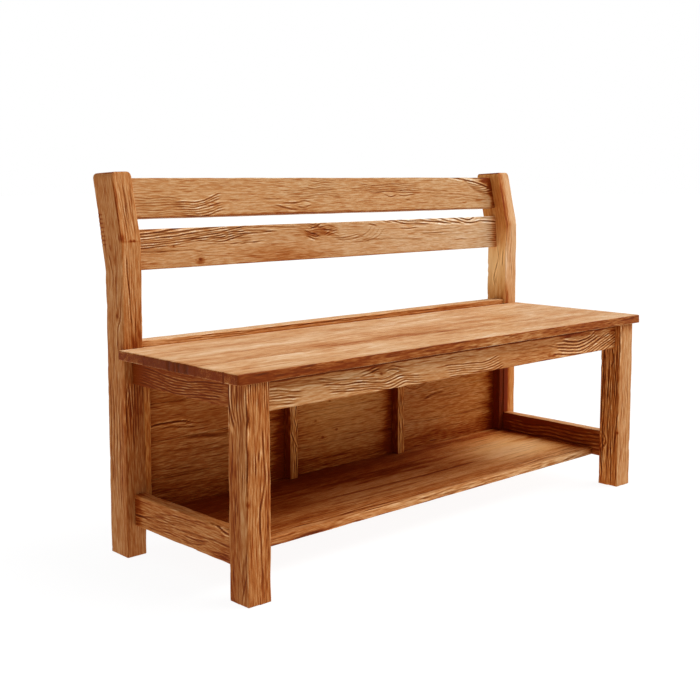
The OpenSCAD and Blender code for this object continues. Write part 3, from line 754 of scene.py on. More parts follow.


# Its left side is warmed as a whole, partly as painted bounce light
LEFT_LEG = Timber(
    21, 3.1, red=0.15, warm=0.2, pith=(106, 50), spacing=5.0, sway=(3, 5), tilt=(8, -6), wear=2.0,
    jagged=0.4, grime=0.1, pitch=(5.0, 1.4), shade=((1, 0, 0.99),), tints=((1, 0, 0.6),),
    brushed=on("side", (430, 20, 30, 30, 0.3)) + on("face", (60, 25, 60, 22, 0.2))
    + on("side", (60, 25, 50, 20, 0.2)),
    strokes=lines("face", (2.0, 0.5, (25, 30, 60, 34, 105, 32, 150, 29, 200, 31)),
        (2.0, 0.7, (135, 29, 180, 30, 205, 34, 228, 40, 248, 43, 270, 41, 300, 38, 345, 37)),
        (1.6, 0.25, (110, 24, 160, 26, 210, 28, 250, 35, 290, 33), 3, 8, -7),
        (2.2, 0.8, (274, 28, 290, 27, 302, 28)), (1.8, 0.8, (352, 0, 364, 4, 374, 9)),
        (1.4, 0.7, (370, 54, 400, 53, 450, 54), 10, 2, -5.4),
        (1.6, 0.4, (60, 47, 120, 50, 190, 48, 260, 51), 2, -20, -6))
    + lines("side", (2.6, -0.7, (330, 43, 340, 50, 353, 59)),
        (2.8, 0.9, (343, 40, 358, 47, 384, 54, 425, 56)), (2.4, 0.7, (352, 35, 372, 43, 400, 47, 430, 44)),
        (2.0, 0.6, (345, 25, 385, 32, 430, 30), 3, 5, -8),
        (1.5, 0.9, (215, 2, 300, 1, 340, 3, 362, 1, 425, 3)),
        (2.0, 0.5, (8, 21, 30, 15, 50, 18, 95, 12), 3, 15, -5),
        (2.2, 0.2, (100, 52, 170, 48, 240, 50, 300, 44), 3, 10, -11),
        (1.5, 0.7, (350, 54, 372, 53, 390, 54), 5, 9, -8),
        (1.5, 0.6, (395, 56, 410, 56, 425, 55), 7, 0, -7.5),
        (1.4, 0.3, (215, 16, 260, 15, 320, 17), 3, 10, -5))
    + flecks("side", 5, 36, (4, 340), (3, 54), 45, 1.4, 0.45)
    + flecks("face", 6, 30, (4, 430), (3, 53), 45, 1.4, 0.4),
    spots=on("side", (260, 0, 200, 1.5, 0.5), (200, 2, 5, 3, 0.9), (180, 6, 12, 4, 0.4),
        (190, 46, 110, 20, 0.32), (50, 44, 60, 18, 0.22), (165, 12, 40, 12, -0.2), (280, 20, 60, 20, -0.1))
    + on("face", (30, 28, 40, 40, 0.12), (200, 52, 70, 5, 0.25), (447, 28, 9, 40, 0.35))
    + on("side", (447, 28, 9, 40, 0.3)))
# Painted shade: its left side, turned to the bench's inside, is darkened and warmed as a whole, as painted
# shade and warm bounce light
RIGHT_LEG = Timber(
    22, 2.25, red=0.25, warm=0.5, contrast=0.35, patchy=0.25, pith=(-50, 50), spacing=5.4, sway=(3, 5),
    tilt=(8, 6), jagged=1.4, grime=0.1, pitch=(5.0, 1.4), shade=((1, 0, 1.2),), tints=((1, 0, 2.8),),
    knots=on("side", (112, 42, 2.5, 0.5)),
    brushed=on("face", (60, 20, 60, 20, 0.2)) + on("side", (60, 45, 50, 16, 0.4)),
    strokes=lines("side", (1.9, 0.8, (212, 10, 260, 9, 330, 11, 362, 10), 3, 2, 6.2),
        (2.0, 0.9, (312, 31, 328, 20, 344, 18, 366, 25)), (2.0, 0.5, (225, 31, 290, 30, 312, 31)),
        (2.2, 0.9, (93, 54, 104, 42, 120, 36, 136, 44, 147, 56)),
        (1.8, 0.8, (103, 58, 111, 50, 122, 45, 131, 50, 140, 58)),
        (2.4, 0.7, (30, 46, 58, 52, 82, 50, 98, 55)),
        (2.0, 0.6, (150, 50, 185, 46, 225, 43, 300, 46), 2, 8, 7),
        (1.8, 0.4, (20, 30, 90, 26, 160, 30), 3, 4, -8)) + lines("face", (2.0, 0.8, (395, 7, 430, 6)),
        (1.8, 0.5, (40, 7, 62, 8, 80, 12, 130, 10)),
        (1.6, 0.4, (160, 9, 200, 14, 245, 17, 275, 20), 2, 6, 9), (1.8, 0.4, (60, 37, 110, 35, 160, 36)))
    + flecks("side", 7, 50, (4, 360), (3, 54), 70, 1.5, 1.1)
    + flecks("face", 8, 22, (4, 430), (3, 53), 45, 1.4, 0.35),
    spots=on("side", (230, 58, 230, 2, 0.3)) + on("face", (145, 0, 3, 3, 1.2), (425, 26, 12, 40, 0.45))
    + on("side", (120, 50, 12, 6, 0.6), (150, 22, 30, 12, -0.15)))


def legs():
    board("front_left_leg", "z", "-y", LEFT_LEG, FRAME)
    board("front_right_leg", "z", "-y", RIGHT_LEG, FRAME)


TOP_SLAT = Timber(
    31, 2.6, fade=(1.02, 0.9), red=0.08, warm=-1.6, contrast=0.15, patchy=0.05, pith=(150, 62), tilt=(10, 0),
    ripple=1.0, relief=0.6, wear=1.8, pitch=(4.5, 1.3),
    glows=on("face", (1206, 44, 16, 80, 2.2)),
    brushed=on("face", (90, 24, 90, 26, 0.2), (560, 66, 60, 18, 0.4), (700, 62, 40, 18, 0.4),
        (1150, 62, 50, 22, 0.5)),
    strokes=lines("face", (1.3, 0.4, (20, 44, 60, 42, 100, 44, 140, 41), 8, 1, -5.3),
        (1.5, 0.9, (115, 34, 170, 31, 200, 36, 224, 44, 246, 52), 3, 0, -5.2),
        (1.5, 0.75, (130, 18, 175, 15, 205, 20, 228, 27, 245, 30), 4, 3, -5.2),
        (1.8, 0.5, (365, 38, 395, 37, 425, 36)), (2.0, 0.7, (405, 21, 430, 16, 455, 11, 472, 9)),
        (1.8, 0.7, (428, 27, 470, 26, 500, 31, 516, 27)), (1.5, 0.5, (470, 16, 495, 14, 514, 21)),
        (1.3, 0.35, (425, 56, 470, 55, 530, 60, 600, 57), 5, 8, -5),
        (1.3, 0.35, (505, 64, 530, 60, 560, 64, 600, 61), 4, 4, 6),
        (1.3, 0.5, (690, 72, 725, 66, 790, 69, 850, 71, 900, 69), 4, 4, -5.6),
        (1.4, 0.55, (740, 48, 780, 51, 840, 48, 890, 46), 2, 6, 5),
        (1.5, 0.7, (772, 45, 788, 38, 802, 37, 818, 42)), (1.5, 0.6, (822, 42, 850, 38, 886, 43)),
        (2.0, 0.6, (848, 29, 858, 27, 868, 28)), (1.6, 0.35, (900, 56, 960, 52, 1020, 50), 3, 25, -9),
        (2.2, 1.0, (1025, 90, 1060, 86, 1090, 82, 1120, 77, 1150, 71, 1175, 65, 1196, 57)),
        (1.7, 0.7, (1092, 78, 1122, 69, 1150, 64, 1185, 68), 5, 8, -6),
        (1.8, 0.8, (1110, 90, 1145, 84, 1185, 87)), (1.3, 0.3, (1040, 40, 1100, 38, 1160, 30), 3, 10, -8)),
    # The spot at 605 along and 0 across is painted shade along the slat's bottom arris
    spots=on("face", (1200, 70, 18, 22, 1.7), (1178, 80, 22, 8, 1.0), (1204, 30, 9, 40, 0.7),
        (470, 12, 60, 10, 0.25), (780, 70, 90, 14, 0.14), (90, 89, 24, 3, 0.7), (605, 0, 760, 2.6, 0.8),
        (250, 2, 330, 3, 0.25), (1192, 46, 8, 8, 0.8)))
LOWER_SLAT = Timber(
    32, 2.3, fade=(1.13, 0.7), warm=-1.0, contrast=0.15, patchy=0.05, pith=(150, 58), spacing=5.2,
    tilt=(-10, 6), ripple=1.0, relief=0.8, wear=1.8, pitch=(4.5, 1.3),
    hills=on("face", (690, 50, 60, 30, 8)),
    glows=on("face", (1204, 44, 18, 80, 2.8), (425, 12, 110, 18, 0.8), (40, 84, 120, 5, 1.2)),
    knots=on("face", (553, 70, 3.5, 0.7), (178, 16, 5, 0.9), (107, 48, 2.2, 1.2)),
    brushed=on("face", (640, 50, 70, 16, 0.5), (60, 60, 60, 20, 0.3)),
    strokes=lines("face", (2.2, 0.7, (14, 82, 40, 85, 72, 90)), (2.2, 1.0, (14, 75, 80, 81, 142, 90)),
        (2.0, 1.0, (14, 70, 110, 78, 200, 85, 262, 90)),
        (1.5, 0.95, (14, 65, 100, 69, 180, 77, 250, 83, 300, 84), 5, 0, -4.7),
        (1.4, 0.45, (14, 47, 45, 47, 85, 49), 3, 0, -4),
        (1.4, 0.9, (196, 71, 230, 72, 262, 80, 300, 85), 5, 5, -4.4),
        (1.3, 0.6, (215, 52, 245, 53, 275, 62, 310, 67)), (1.5, 0.7, (285, 66, 330, 71, 402, 71)),
        (1.5, 0.6, (300, 76, 340, 74, 392, 73)), (1.8, 0.45, (250, 86, 330, 84, 420, 81, 480, 78), 2, 60, 4),
        (1.6, 0.8, (486, 72, 500, 66, 512, 62, 526, 60), 3, 3, -6),
        (1.6, 0.9, (500, 82, 512, 76, 524, 76, 534, 82, 542, 90), 2, -4, 7))
    + flecks("face", 21, 22, (492, 580), (50, 84), 22, 1.4, 0.9, 0.35)
    + lines("face", (1.4, 0.5, (560, 82, 580, 78, 596, 70), 3, 4, -7),
        (1.4, 0.4, (575, 52, 600, 48, 640, 50, 670, 56), 3, 8, -3),
        (1.5, 0.4, (645, 44, 685, 52, 706, 64, 716, 78), 4, 14, -3), (2.0, 0.6, (700, 80, 720, 78, 738, 73)),
        (2.2, 0.3, (640, 36, 760, 40, 850, 37, 900, 31)), (1.5, 0.9, (748, 91, 765, 84, 790, 81)),
        (1.7, 1.2, (770, 91, 786, 86, 812, 81, 850, 77, 930, 74)),
        (1.8, 1.2, (798, 91, 822, 86, 850, 83, 900, 82, 945, 79, 985, 75)),
        (1.8, 1.2, (845, 91, 885, 87, 930, 83, 962, 78, 1000, 74)),
        (1.8, 1.3, (905, 91, 930, 87, 960, 82, 990, 76, 1022, 73)),
        (1.8, 1.3, (955, 91, 976, 87, 1000, 81, 1030, 75, 1060, 72)),
        (1.8, 1.2, (1000, 91, 1030, 86, 1055, 79, 1080, 74, 1102, 72)),
        (2.0, 1.4, (1040, 91, 1062, 86, 1080, 82, 1092, 80, 1104, 83, 1124, 91)),
        (1.9, 1.2, (1072, 73, 1100, 71, 1120, 73, 1141, 77, 1170, 75, 1211, 71)),
        (1.5, 0.9, (812, 77, 850, 74, 900, 71, 925, 70)), (1.5, 0.8, (818, 66, 850, 64, 885, 65)),
        (1.4, 0.5, (1120, 90, 1160, 84, 1211, 82)), (1.3, 0.6, (1166, 65, 1211, 64), 10, 0, -5.7),
        (1.4, 0.5, (900, 49, 930, 48, 990, 50)), (1.5, 0.5, (1028, 27, 1060, 28, 1084, 27)),
        (1.3, 0.35, (860, 58, 930, 56, 1000, 58, 1060, 62), 3, 30, -7))
    + flecks("face", 9, 30, (10, 330), (30, 86), 50, 1.3, 0.6),
    # The spot at 605 along and 0 across is painted shade along the slat's bottom arris
    spots=on("face", (425, 12, 110, 15, 0.45), (538, 69, 46, 15, 0.75), (900, 5, 140, 8, 0.1),
        (178, 16, 8, 6.5, 0.9), (505, 58, 16, 7, 0.3), (568, 64, 22, 10, 0.25), (605, 0, 760, 2.4, 0.7),
        (1206, 40, 14, 60, 0.4), (20, 8, 20, 16, 0.2)))


def slats():
    for node, timber, lean in (("top_back_slat", TOP_SLAT, FRONT_LEAN),
                               ("lower_back_slat", LOWER_SLAT, LOWER_SLAT_LEAN)):
        low, high = box(node)
        turn = math.radians(lean)
        origin = (POST_TO_POST[0], low[1], high[2] - math.cos(turn) * SLAT_HEIGHT * MM)
        axes = ((1, 0, 0), (0, math.sin(turn), math.cos(turn)), (0, math.cos(turn), -math.sin(turn)))
        size = (2 * POST_TO_POST[1] / MM, SLAT_HEIGHT, SLAT_THICKNESS)
        make_board(node, FRAME, size, origin, axes, timber)


# Painted shadow: the smear and spot at 584 along and 58 across darken its top under the seat's edge, and the
# spot at 0 across darkens its bottom edge as painted shade
FRONT_APRON = Timber(
    41, 2.45, red=0.12, warm=-0.3, contrast=0.15, patchy=0.05, pith=(118, 55), sway=(3, 7), tilt=(8, -6),
    ripple=1.0, relief=0.8, wear=1.2, pitch=(4.5, 1.2),
    knots=on("face", (312, 36, 4, 1.0)), hills=on("face", (1160, 40, 105, 50, 20)),
    smears=on("face", (584, 58, 3000, 3, 1.0)),
    brushed=on("face", (30, 24, 50, 26, 0.3), (320, 32, 90, 24, 0.3), (1080, 32, 90, 30, 0.4)),
    strokes=lines("face", (1.6, 0.8, (8, 38, 40, 37, 70, 30, 95, 27), 3, 0, -5),
        (1.6, 0.9, (8, 24, 35, 21, 60, 21, 80, 17), 2, 0, -6), (1.8, 0.6, (8, 12, 40, 10, 75, 8)),
        (1.4, 0.4, (8, 52, 60, 50, 120, 47, 180, 44), 3, 10, -4.5),
        (1.4, 0.7, (135, 47, 190, 38, 250, 32, 290, 28, 318, 23, 345, 29, 366, 35, 392, 31), 2, -4, -4.6),
        (1.5, 0.9, (150, 33, 205, 27, 260, 25, 300, 19, 322, 15, 345, 20, 368, 26, 395, 22, 430, 18),
         4, 6, -5.4),
        (1.5, 0.8, (250, 37, 285, 42, 306, 49)), (1.5, 0.8, (252, 45, 280, 49, 300, 55)),
        (1.6, 0.8, (322, 38, 338, 43, 354, 41, 372, 36), 2, 3, 6), (2.0, 0.5, (228, 18, 248, 15)),
        (1.4, 0.75, (505, 30, 560, 28, 635, 23, 662, 26, 694, 34), 6, 4, -5.4),
        (1.4, 0.3, (720, 40, 800, 36, 880, 38), 3, 20, -9),
        (2.2, 1.1, (940, 42, 975, 36, 1010, 34, 1042, 37, 1064, 44, 1076, 53)),
        (2.0, 1.1, (915, 35, 965, 29, 1005, 26, 1038, 30, 1066, 39, 1082, 47)),
        (2.0, 1.0, (918, 28, 965, 21, 1005, 18, 1036, 21, 1066, 30, 1092, 40)),
        (1.8, 1.0, (922, 21, 965, 13, 1005, 10, 1036, 12, 1066, 21, 1096, 32, 1120, 42)),
        (1.8, 0.9, (905, 12, 940, 8, 985, 4, 1020, 1)), (1.6, 0.6, (880, 36, 905, 31, 925, 27)),
        (1.5, 0.9, (1028, 5, 1060, 16, 1092, 27, 1126, 38, 1142, 44), 6, 14, -2.4))
    + flecks("face", 10, 30, (10, 1150), (3, 54), 55, 1.3, 0.35),
    glows=on("face", (980, 30, 330, 70, 2.0), (160, 30, 200, 70, -0.5)),
    spots=on("face", (120, 54, 150, 9, 0.35), (300, 52, 50, 8, 0.4), (584, 58, 760, 3.4, 1.1),
        (1010, 52, 70, 6, 0.7), (584, 0, 760, 2.2, 0.6), (1158, 40, 14, 26, 0.5), (888, 11, 5, 3.2, 0.8),
        (906, 9, 6, 3.2, 0.8), (760, 46, 200, 12, 0.1)))
SIDE_APRON = dict(
    red=0.2, warm=-0.3, pith=(110, 40), sway=(5, 10), relief=0.6, wear=1.2,
    strokes=lines("face", (1.5, 0.7, (15, 44, 80, 40, 130, 33, 180, 30, 240, 36, 300, 42), 7, 3, -5.5)),
    spots=on("face", (110, 20, 120, 16, -0.15), (300, 60, 120, 16, 0.3), (310, 30, 30, 60, 0.5)))


def aprons():
    board("front_apron", "x", "-y", FRONT_APRON, FRAME, box("front_apron", 0, LEG_TO_LEG))
    for k, node in enumerate(("left_side_apron", "right_side_apron")):
        board(node, "y", "-x", Timber(45 + k, 4.75, **SIDE_APRON), FRAME, box(node, 1, LEG_TO_POST))


# Painted light: its top is made lighter and warmer as a whole side
LEFT_RAIL = Timber(
    51, 2.95, red=0.35, warm=1.4, spacing=5.0, sway=(4, 8), tilt=(6, 6), relief=0.8, jagged=1.2,
    shade=((1, 1, 0.85),), tints=((1, 1, 0.8),),
    strokes=lines("face", (2.0, 1.2, (10, 59, 25, 60, 40, 66, 58, 70)), (2.0, 0.8, (58, 66, 78, 70)),
        (2.0, 0.5, (10, 35, 60, 36, 110, 33, 150, 31, 195, 29)),
        (1.6, 0.7, (78, 30, 102, 24, 130, 21, 165, 22), 3, 6, -5),
        (1.4, 0.5, (80, 63, 120, 60, 160, 56, 200, 54, 250, 47), 4, 18, -6),
        (1.4, 0.45, (190, 36, 240, 30, 290, 30, 340, 26), 4, 5, -7), (2.0, 1.0, (296, 27, 320, 25, 345, 24)),
        (1.6, 0.5, (10, 14, 40, 16, 70, 10), 2, 0, -6)),
    spots=on("face", (20, 8, 40, 12, 0.35), (330, 30, 14, 60, 0.6), (30, 48, 6, 4, 0.6)))
# Painted light: its top is made lighter and cooler as a whole side; its outer side is lighter as well
RIGHT_RAIL = Timber(
    52, 4.6, red=0.5, warm=2.2, contrast=0.4, patchy=0.3, spacing=5.0, sway=(4, 8), tilt=(-6, 6), relief=0.6,
    wear=1.8, shade=((1, 1, 0.38), (2, 1, 0.6)), tints=((1, 1, -1.8),),
    strokes=lines("face", (2.0, 0.6, (10, 56, 90, 50, 180, 54, 260, 46, 340, 50), 5, 0, -10)),
    spots=on("face", (230, 60, 120, 12, 0.4), (330, 40, 20, 60, 0.4)))
# Painted light: its top is made lighter and cooler as a whole side, as the lit top
SEAT_RAIL = Timber(
    54, 2.3, fade=(0.9, 1.1), warm=2.0, patchy=0.4, pith=(90, 40), spacing=4.5, relief=0.4, wear=1.5,
    shade=((1, 1, 0.75),), tints=((1, 1, -1.8),),
    strokes=lines("face", (1.2, 0.7, (150, 57, 300, 55, 420, 57, 560, 54), 3, 190, 0),
        (1.2, 0.5, (60, 53, 260, 52, 400, 54, 640, 53), 2, 480, 0)),
    spots=on("face", (605, 46, 800, 2.5, 0.6), (1010, 55, 90, 10, 0.4)))


def rails():
    for node, timber in (("left_side_rail", LEFT_RAIL), ("right_side_rail", RIGHT_RAIL)):
        board(node, "y", "-x", timber, FRAME, box(node, 1, LEG_TO_POST))
    board("rear_seat_rail", "x", "-y", SEAT_RAIL, FRAME, box("rear_seat_rail", 0, POST_TO_POST))


def joint_sides(k, count):
    """The sides on which board k of a panel meets its neighbours."""
    return ((1, 0),) * (k > 0) + ((1, 1),) * (k < count - 1)


def end_checks(*checks):
    """Cracks in the end grain: each one's place across, reach and amount."""
    return on("end", *((t, 12, reach, 30, amount) for t, reach, amount in checks))


# The stain of each seat board. They share all else of one figure
SEAT_STAINS = (1.6, 1.65, 1.75, 1.62, 1.6)
SEAT_BOARD = dict(
    red=0.35, warm=0.3, contrast=0.35, pith=(600, 90), spacing=7.5, sway=(6, 8), relief=0.15, wear=2.0,
    jagged=1.0, wave=0.15, grime=0.0, pitch=(8.0, 2.0), tints=((1, 0, -0.8), (0, 0, -0.4)),
    shade=((1, 0, 2.42), (0, 0, 1.67), (0, 1, 1.6), (2, 1, 1.3), (1, 1, 1.6)),
    dents=end_checks((226, 5, 1.2), (205, 3, 1.2), (192, 5, 1.2), (165, 6, 1.2)),
    smears=on("side", (0, 12, 230, 60, 0.35), (400, 12, 120, 60, 0.12)) + on("end", (240, 12, 130, 60, 0.4))
    + end_checks((226, 5, 0.6), (205, 3, 0.5), (192, 5, 0.7), (165, 6, 0.6), (46, 2, 0.6)),
    spots=end_checks((226, 5, 0.9), (205, 3, 0.5), (192, 5, 0.9), (165, 6, 0.9), (312, 2, 0.7), (46, 2, 0.7),
                     (80, 30, 0.25))
    + on("face", (120, 155, 260, 22, 0.3), (420, 150, 240, 20, 0.38), (680, 160, 130, 34, 0.42),
         (740, 100, 90, 20, 0.42), (560, 245, 260, 12, 0.22), (940, 275, 110, 22, 0.34),
         (1000, 195, 120, 26, 0.4), (1120, 80, 90, 24, 0.3), (1060, 128, 60, 10, 0.3), (70, 50, 120, 22, 0.3),
         (235, 300, 60, 12, 0.28), (500, 340, 120, 14, 0.2), (1250, 320, 90, 20, 0.25),
         (662, 385, 700, 14, 0.18), (330, 105, 40, 8, 0.3), (320, 60, 260, 30, -0.1),
         (800, 290, 200, 30, -0.12), (250, 270, 160, 24, -0.1))
    + on("side", (662, 0, 3000, 1.2, 0.8), (662, 21, 3000, 1.6, -0.3), (60, 12, 360, 60, 0.15))
    + on("end", (260, 12, 150, 60, 0.15)) + on("side", (860, 12, 60, 30, -0.15)))
FRONT_EDGE_MARKS = flecks("side", 11, 90, (0, 1320), (1, 21), 26, 1.6, 0.5)


def notch(world):
    """Cuts the rear seat board round the posts."""
    x, y = np.abs(world[:, 0]), world[:, 1]
    inner, outer = post_inner / MM - NOTCH_GAP, right_post_high[0] / MM + NOTCH_GAP
    hit = (x > inner) & (x < outer) & (y > post_front / MM - NOTCH_GAP)
    world[hit, 1] = post_front / MM - NOTCH_GAP
    return world


def seat():
    count = len(SEAT_STAINS)
    front = box("seat_plank_1")[0][1]
    half = box("seat_plank_1")[1][0] / MM
    corners = (post_inner / MM - NOTCH_GAP, right_post_high[0] / MM + NOTCH_GAP)
    cuts = [half + s * (c + d) for s in (-1, 1) for c in corners for d in (-NOTCH_STEP, NOTCH_STEP)]
    for k, stain in enumerate(SEAT_STAINS):
        node = f"seat_plank_{k + 1}"
        timber = Timber(61, stain, across=(box(node)[0][1] - front) / MM, sharp_sides=joint_sides(k, count),
                        strokes=FRONT_EDGE_MARKS if k == 0 else (), **SEAT_BOARD)
        if k == count - 1:
            board(node, "x", "+z", timber, SEAT, shape=notch, extra=cuts)
        else:
            board(node, "x", "+z", timber, SEAT)


SHELF_STAINS = (2.6, 2.6, 2.9)
# Painted light and shade: the warm glow at 1080 along and the lighter spot at 1040 stand for light falling in
# from the right, and the dark spot at 1215 for the shadow under the right rail; the darker left end and rear
# (fade, rear spots and smear) are partly stain and partly painted shade
SHELF_BOARD = dict(
    fade=(1.3, 0.7), red=0.5, warm=2.0, contrast=0.4, patchy=0.4, pith=(520, 70), spacing=6.5, sway=(6, 9),
    tilt=(30, 0), relief=0.3, wear=1.5, wave=0.2, pitch=(8.0, 1.9), tints=((1, 0, -0.9),),
    smears=on("face", (560, 300, 400, 50, 0.35)),
    glows=on("face", (1080, 160, 240, 200, 1.7), (520, 60, 300, 60, -0.6)),
    strokes=lines("face", (4.0, 0.5, (380, 128, 520, 122, 700, 118, 860, 122)),
        (3.0, 0.2, (900, 70, 1000, 78, 1100, 70)), (3.0, 0.3, (340, 90, 480, 84, 640, 88), 3, 60, -20),
        (2.4, 0.5, (170, 24, 260, 18, 350, 22, 460, 16), 3, 120, -4),
        (2.2, 0.4, (200, 60, 290, 48, 340, 54, 420, 50), 3, 60, 9))
    + flecks("side", 12, 60, (60, 1200), (2, 20), 60, 1.7, 0.5)
    + flecks("face", 13, 40, (60, 1200), (3, 40), 90, 2.0, 0.5)
    + flecks("face", 22, 60, (820, 1240), (20, 300), 90, 2.2, 0.35),
    spots=on("face", (530, 270, 330, 70, 0.45), (660, 205, 200, 16, 0.8), (790, 130, 110, 18, 0.5),
        (100, 230, 200, 110, 0.4), (270, 155, 50, 24, 0.4), (260, 56, 90, 16, 0.35),
        (520, 158, 240, 30, -0.12), (560, 75, 420, 40, -0.1), (1040, 150, 170, 120, -0.75),
        (640, 176, 130, 7, 0.6), (900, 150, 90, 8, 0.5), (1130, 60, 70, 6, 0.7), (1000, 40, 60, 5, 0.5),
        (1150, 190, 50, 14, 0.9), (1215, 150, 40, 200, 1.6), (1100, 305, 200, 16, 1.0),
        (560, 8, 600, 10, -0.3)))


def shelf():
    front = box("shelf_plank_1")[0][1]
    for k, stain in enumerate(SHELF_STAINS):
        node = f"shelf_plank_{k + 1}"
        board(node, "x", "+z", Timber(
            71, stain, across=(box(node)[0][1] - front) / MM, sharp_sides=joint_sides(k, len(SHELF_STAINS)),
            shade=((1, 0, 0.95),) if k == 0 else (), **SHELF_BOARD), FRAME)


BACK_BOARD = dict(
    fade=(1.4, 0.95), red=0.25, warm=3.1, contrast=0.2, pith=(430, 70), sway=(5, 9), tilt=(14, 0),
    ripple=0.8, relief=0.4, wear=0.6, wave=0.3, pitch=(8.0, 2.0), sharp_sides=((1, 0), (1, 1)),
    knots=on("face", (511, 60, 3.5, 0.9), (534, 16, 3.5, 0.9), (581, 29, 3.5, 0.8), (475, 116, 3, 0.8),
        (558, 104, 3, 0.8)),
    strokes=lines("face", (1.8, 1.4, (28, 118, 55, 122, 85, 122, 120, 119, 142, 112)),
        (1.6, 0.7, (60, 110, 90, 112, 130, 104, 155, 102)), (4.0, 0.6, (130, 80, 165, 80, 200, 74, 240, 70)),
        (1.5, 0.4, (36, 12, 60, 6, 95, 3, 180, 2), 2, 5, -6),
        (1.5, 0.6, (822, 108, 845, 98, 872, 94, 905, 100), 4, 9, 5),
        (1.6, 0.6, (900, 106, 950, 110, 1010, 106)), (3.0, 0.6, (895, 60, 935, 71, 985, 74)),
        (1.4, 0.3, (330, 90, 420, 86, 520, 92, 640, 88), 5, 12, -19),
        (1.4, 0.4, (835, 14, 900, 8, 970, 6), 2, 10, -7), (1.4, 0.3, (60, 60, 140, 52, 230, 56), 4, 6, -14))
    + flecks("face", 14, 90, (10, 1190), (-60, 250), 60, 1.7, 0.35),
    # The glow at 590 along is painted warm light in the shade under the seat
    glows=on("face", (1100, 80, 260, 200, 0.7), (590, 90, 190, 130, 1.0)))
BATTEN = dict(
    red=0.3, warm=3.6, contrast=0.2, pith=(112, 14), spacing=3.8, sway=(5, 4), ripple=1.0, relief=0.7,
    wear=1.2, jagged=1.2, pitch=(4.0, 1.3))
# Each batten: its stain, the factor on it at the left side, which paints the shade on that side, and its
# marks' number, strength and slope
BATTENS = {"left_end_batten": (2.8, 1.4, 14, 0.5, 0.03), "left_mid_batten": (2.0, 3.1, 46, 1.1, 0.2),
           "right_mid_batten": (2.0, 3.1, 46, 1.1, 0.2), "right_end_batten": (5.0, 1.1, 14, 0.5, 0.03)}


def panel_painted_shade(left, middle):
    """Painted shade on the panel beside each batten, along its foot and along its head."""
    first, *rest = BATTENS
    beside = on("face", *(((box(node)[0][0] - left) / MM, middle, reach, 900, amount)
                          for node in rest for reach, amount in ((22, 1.0), (46, 0.35))))
    return beside + on("face", ((box(first)[1][0] - left) / MM + 6, middle, 14, 900, 0.35),
                       (604, -52, 3000, 24, 0.6), (604, 2 * middle - 14, 1200, 20, 0.25))


def back():
    left, _, foot = box("back_board_1")[0]
    middle = (box("back_board_3")[1][2] - foot) / MM / 2
    # Painted shade beside the battens and along the panel's foot and head, and a lighter middle as painted
    # light
    spots = panel_painted_shade(left, middle) + on("face", (189, 77, 90, 7, 0.15), (590, 90, 170, 110, -0.36))
    for node in ("rear_lower_rail", "back_board_1", "back_board_2", "back_board_3"):
        low, high = box(node, 0, POST_TO_POST)
        high[2] -= TONGUE * MM
        timber = Timber(81, 2.1, across=(low[2] - foot) / MM, spots=spots, **BACK_BOARD)
        board(node, "x", "-y", timber, BACK, (low, high))
    for k, (node, (stain, shade, count, amount, slope)) in enumerate(BATTENS.items()):
        # Painted shade: both sides of each batten are darker than its front, by the listed factor on the left
        # and 1.3 on the right
        board(node, "z", "-y", Timber(
            91 + k, stain, shade=((1, 0, shade), (1, 1, 1.3)),
            strokes=flecks("face", 15 + k, count, (0, 320), (0, 24), 34, 1.5, amount, slope),
            smears=on("face", (160, 12, 400, 40, 0.7)) if node == "right_end_batten" else (), **BATTEN), BACK)


HIDDEN = dict(
    red=0.4, patchy=0.4, pith=(150, 60), relief=0.3, wear=1.0, pitch=(9.0, 2.2))


def bearers():
    ends = (box("front_apron")[1][1] - BITE, box("rear_seat_rail")[0][1] + BITE)
    for k, node in enumerate(("left_seat_bearer", "right_seat_bearer")):
        board(node, "y", "-z", Timber(101 + k, 3.4, **HIDDEN), BACK, box(node, 1, ends))
    whole = [f"{side}_{part}" for part in ("seat_cleat", "shelf_bearer") for side in ("left", "right")]
    for k, node in enumerate(whole):
        board(node, "y", "-z", Timber(105 + k, 3.4, **HIDDEN), BACK)


def hardware():
    steel = steel_material("screw steel")
    for node, material in (("seat_screws", steel), ("shelf_screws", steel), ("back_screws", steel),
                           ("shelf_dowels", dowel_material("dowel wood"))):
        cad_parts[node].data.materials.clear()
        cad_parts[node].data.materials.append(material)


def sun(name, azimuth, elevation, strength, angle):
    """A sun that stands at this azimuth, 0 in front of the bench and 90 at its right, and elevation."""
    data = bpy.data.lights.new(name, "SUN")
    data.energy = strength
    data.angle = math.radians(angle)
    data.color = SUN_COLOUR
    lamp = bpy.data.objects.new(name, data)
    lamp.rotation_euler = (math.radians(90 - elevation), 0, math.radians(azimuth))
    bpy.context.scene.collection.objects.link(lamp)


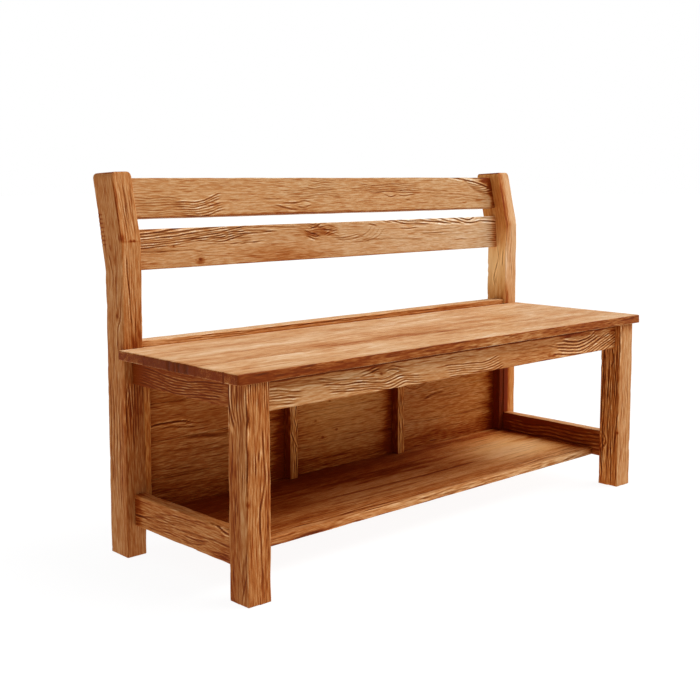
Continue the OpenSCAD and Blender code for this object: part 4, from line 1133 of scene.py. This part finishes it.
def floor():
    """A white table lit from below, as for pictures on plain white, so that shadows on it stay faint."""
    plane = bpy.data.meshes.new("floor")
    corners = [(x * FLOOR_REACH, y * FLOOR_REACH, 0) for x, y in ((-1, -1), (1, -1), (1, 1), (-1, 1))]
    plane.from_pydata(corners, [], [(0, 1, 2, 3)])
    piece = bpy.data.objects.new("floor", plane)
    bpy.context.scene.collection.objects.link(piece)
    g = Graph("floor")
    g.shade(Base_Color=FLOOR_COLOUR, Emission_Color=WHITE, Emission_Strength=FLOOR_GLOW, Roughness=0.9,
            Specular_IOR_Level=0.1)
    plane.materials.append(g.material)


def studio():
    """Floor, suns, and a dome that lights softly and that the camera sees as plain white."""
    floor()
    for settings in SUNS:
        sun(*settings)
    world = bpy.data.worlds.new("studio")
    world.use_nodes = True
    tree = world.node_tree
    dome = tree.nodes["Background"]
    dome.inputs["Color"].default_value = WHITE
    dome.inputs["Strength"].default_value = DOME_STRENGTH
    backdrop = tree.nodes.new("ShaderNodeBackground")
    backdrop.inputs["Color"].default_value = WHITE
    backdrop.inputs["Strength"].default_value = 1.0
    path = tree.nodes.new("ShaderNodeLightPath")
    choice = tree.nodes.new("ShaderNodeMixShader")
    tree.links.new(path.outputs["Is Camera Ray"], choice.inputs[0])
    tree.links.new(dome.outputs[0], choice.inputs[1])
    tree.links.new(backdrop.outputs[0], choice.inputs[2])
    tree.links.new(choice.outputs[0], tree.nodes["World Output"].inputs["Surface"])
    bpy.context.scene.world = world
    bpy.context.scene.view_settings.view_transform = "Standard"


def camera():
    data = bpy.data.cameras.new("camera")
    data.lens = CAMERA_LENS
    data.sensor_width = CAMERA_SENSOR
    data.shift_y = CAMERA_SHIFT_Y
    eye = bpy.data.objects.new("camera", data)
    eye.location = CAMERA_PLACE
    eye.rotation_euler = (math.radians(90 + CAMERA_PITCH), 0, math.radians(-CAMERA_YAW))
    bpy.context.scene.collection.objects.link(eye)
    bpy.context.scene.camera = eye


camera()
studio()
posts()
legs()
slats()
aprons()
rails()
seat()
shelf()
back()
bearers()
hardware()
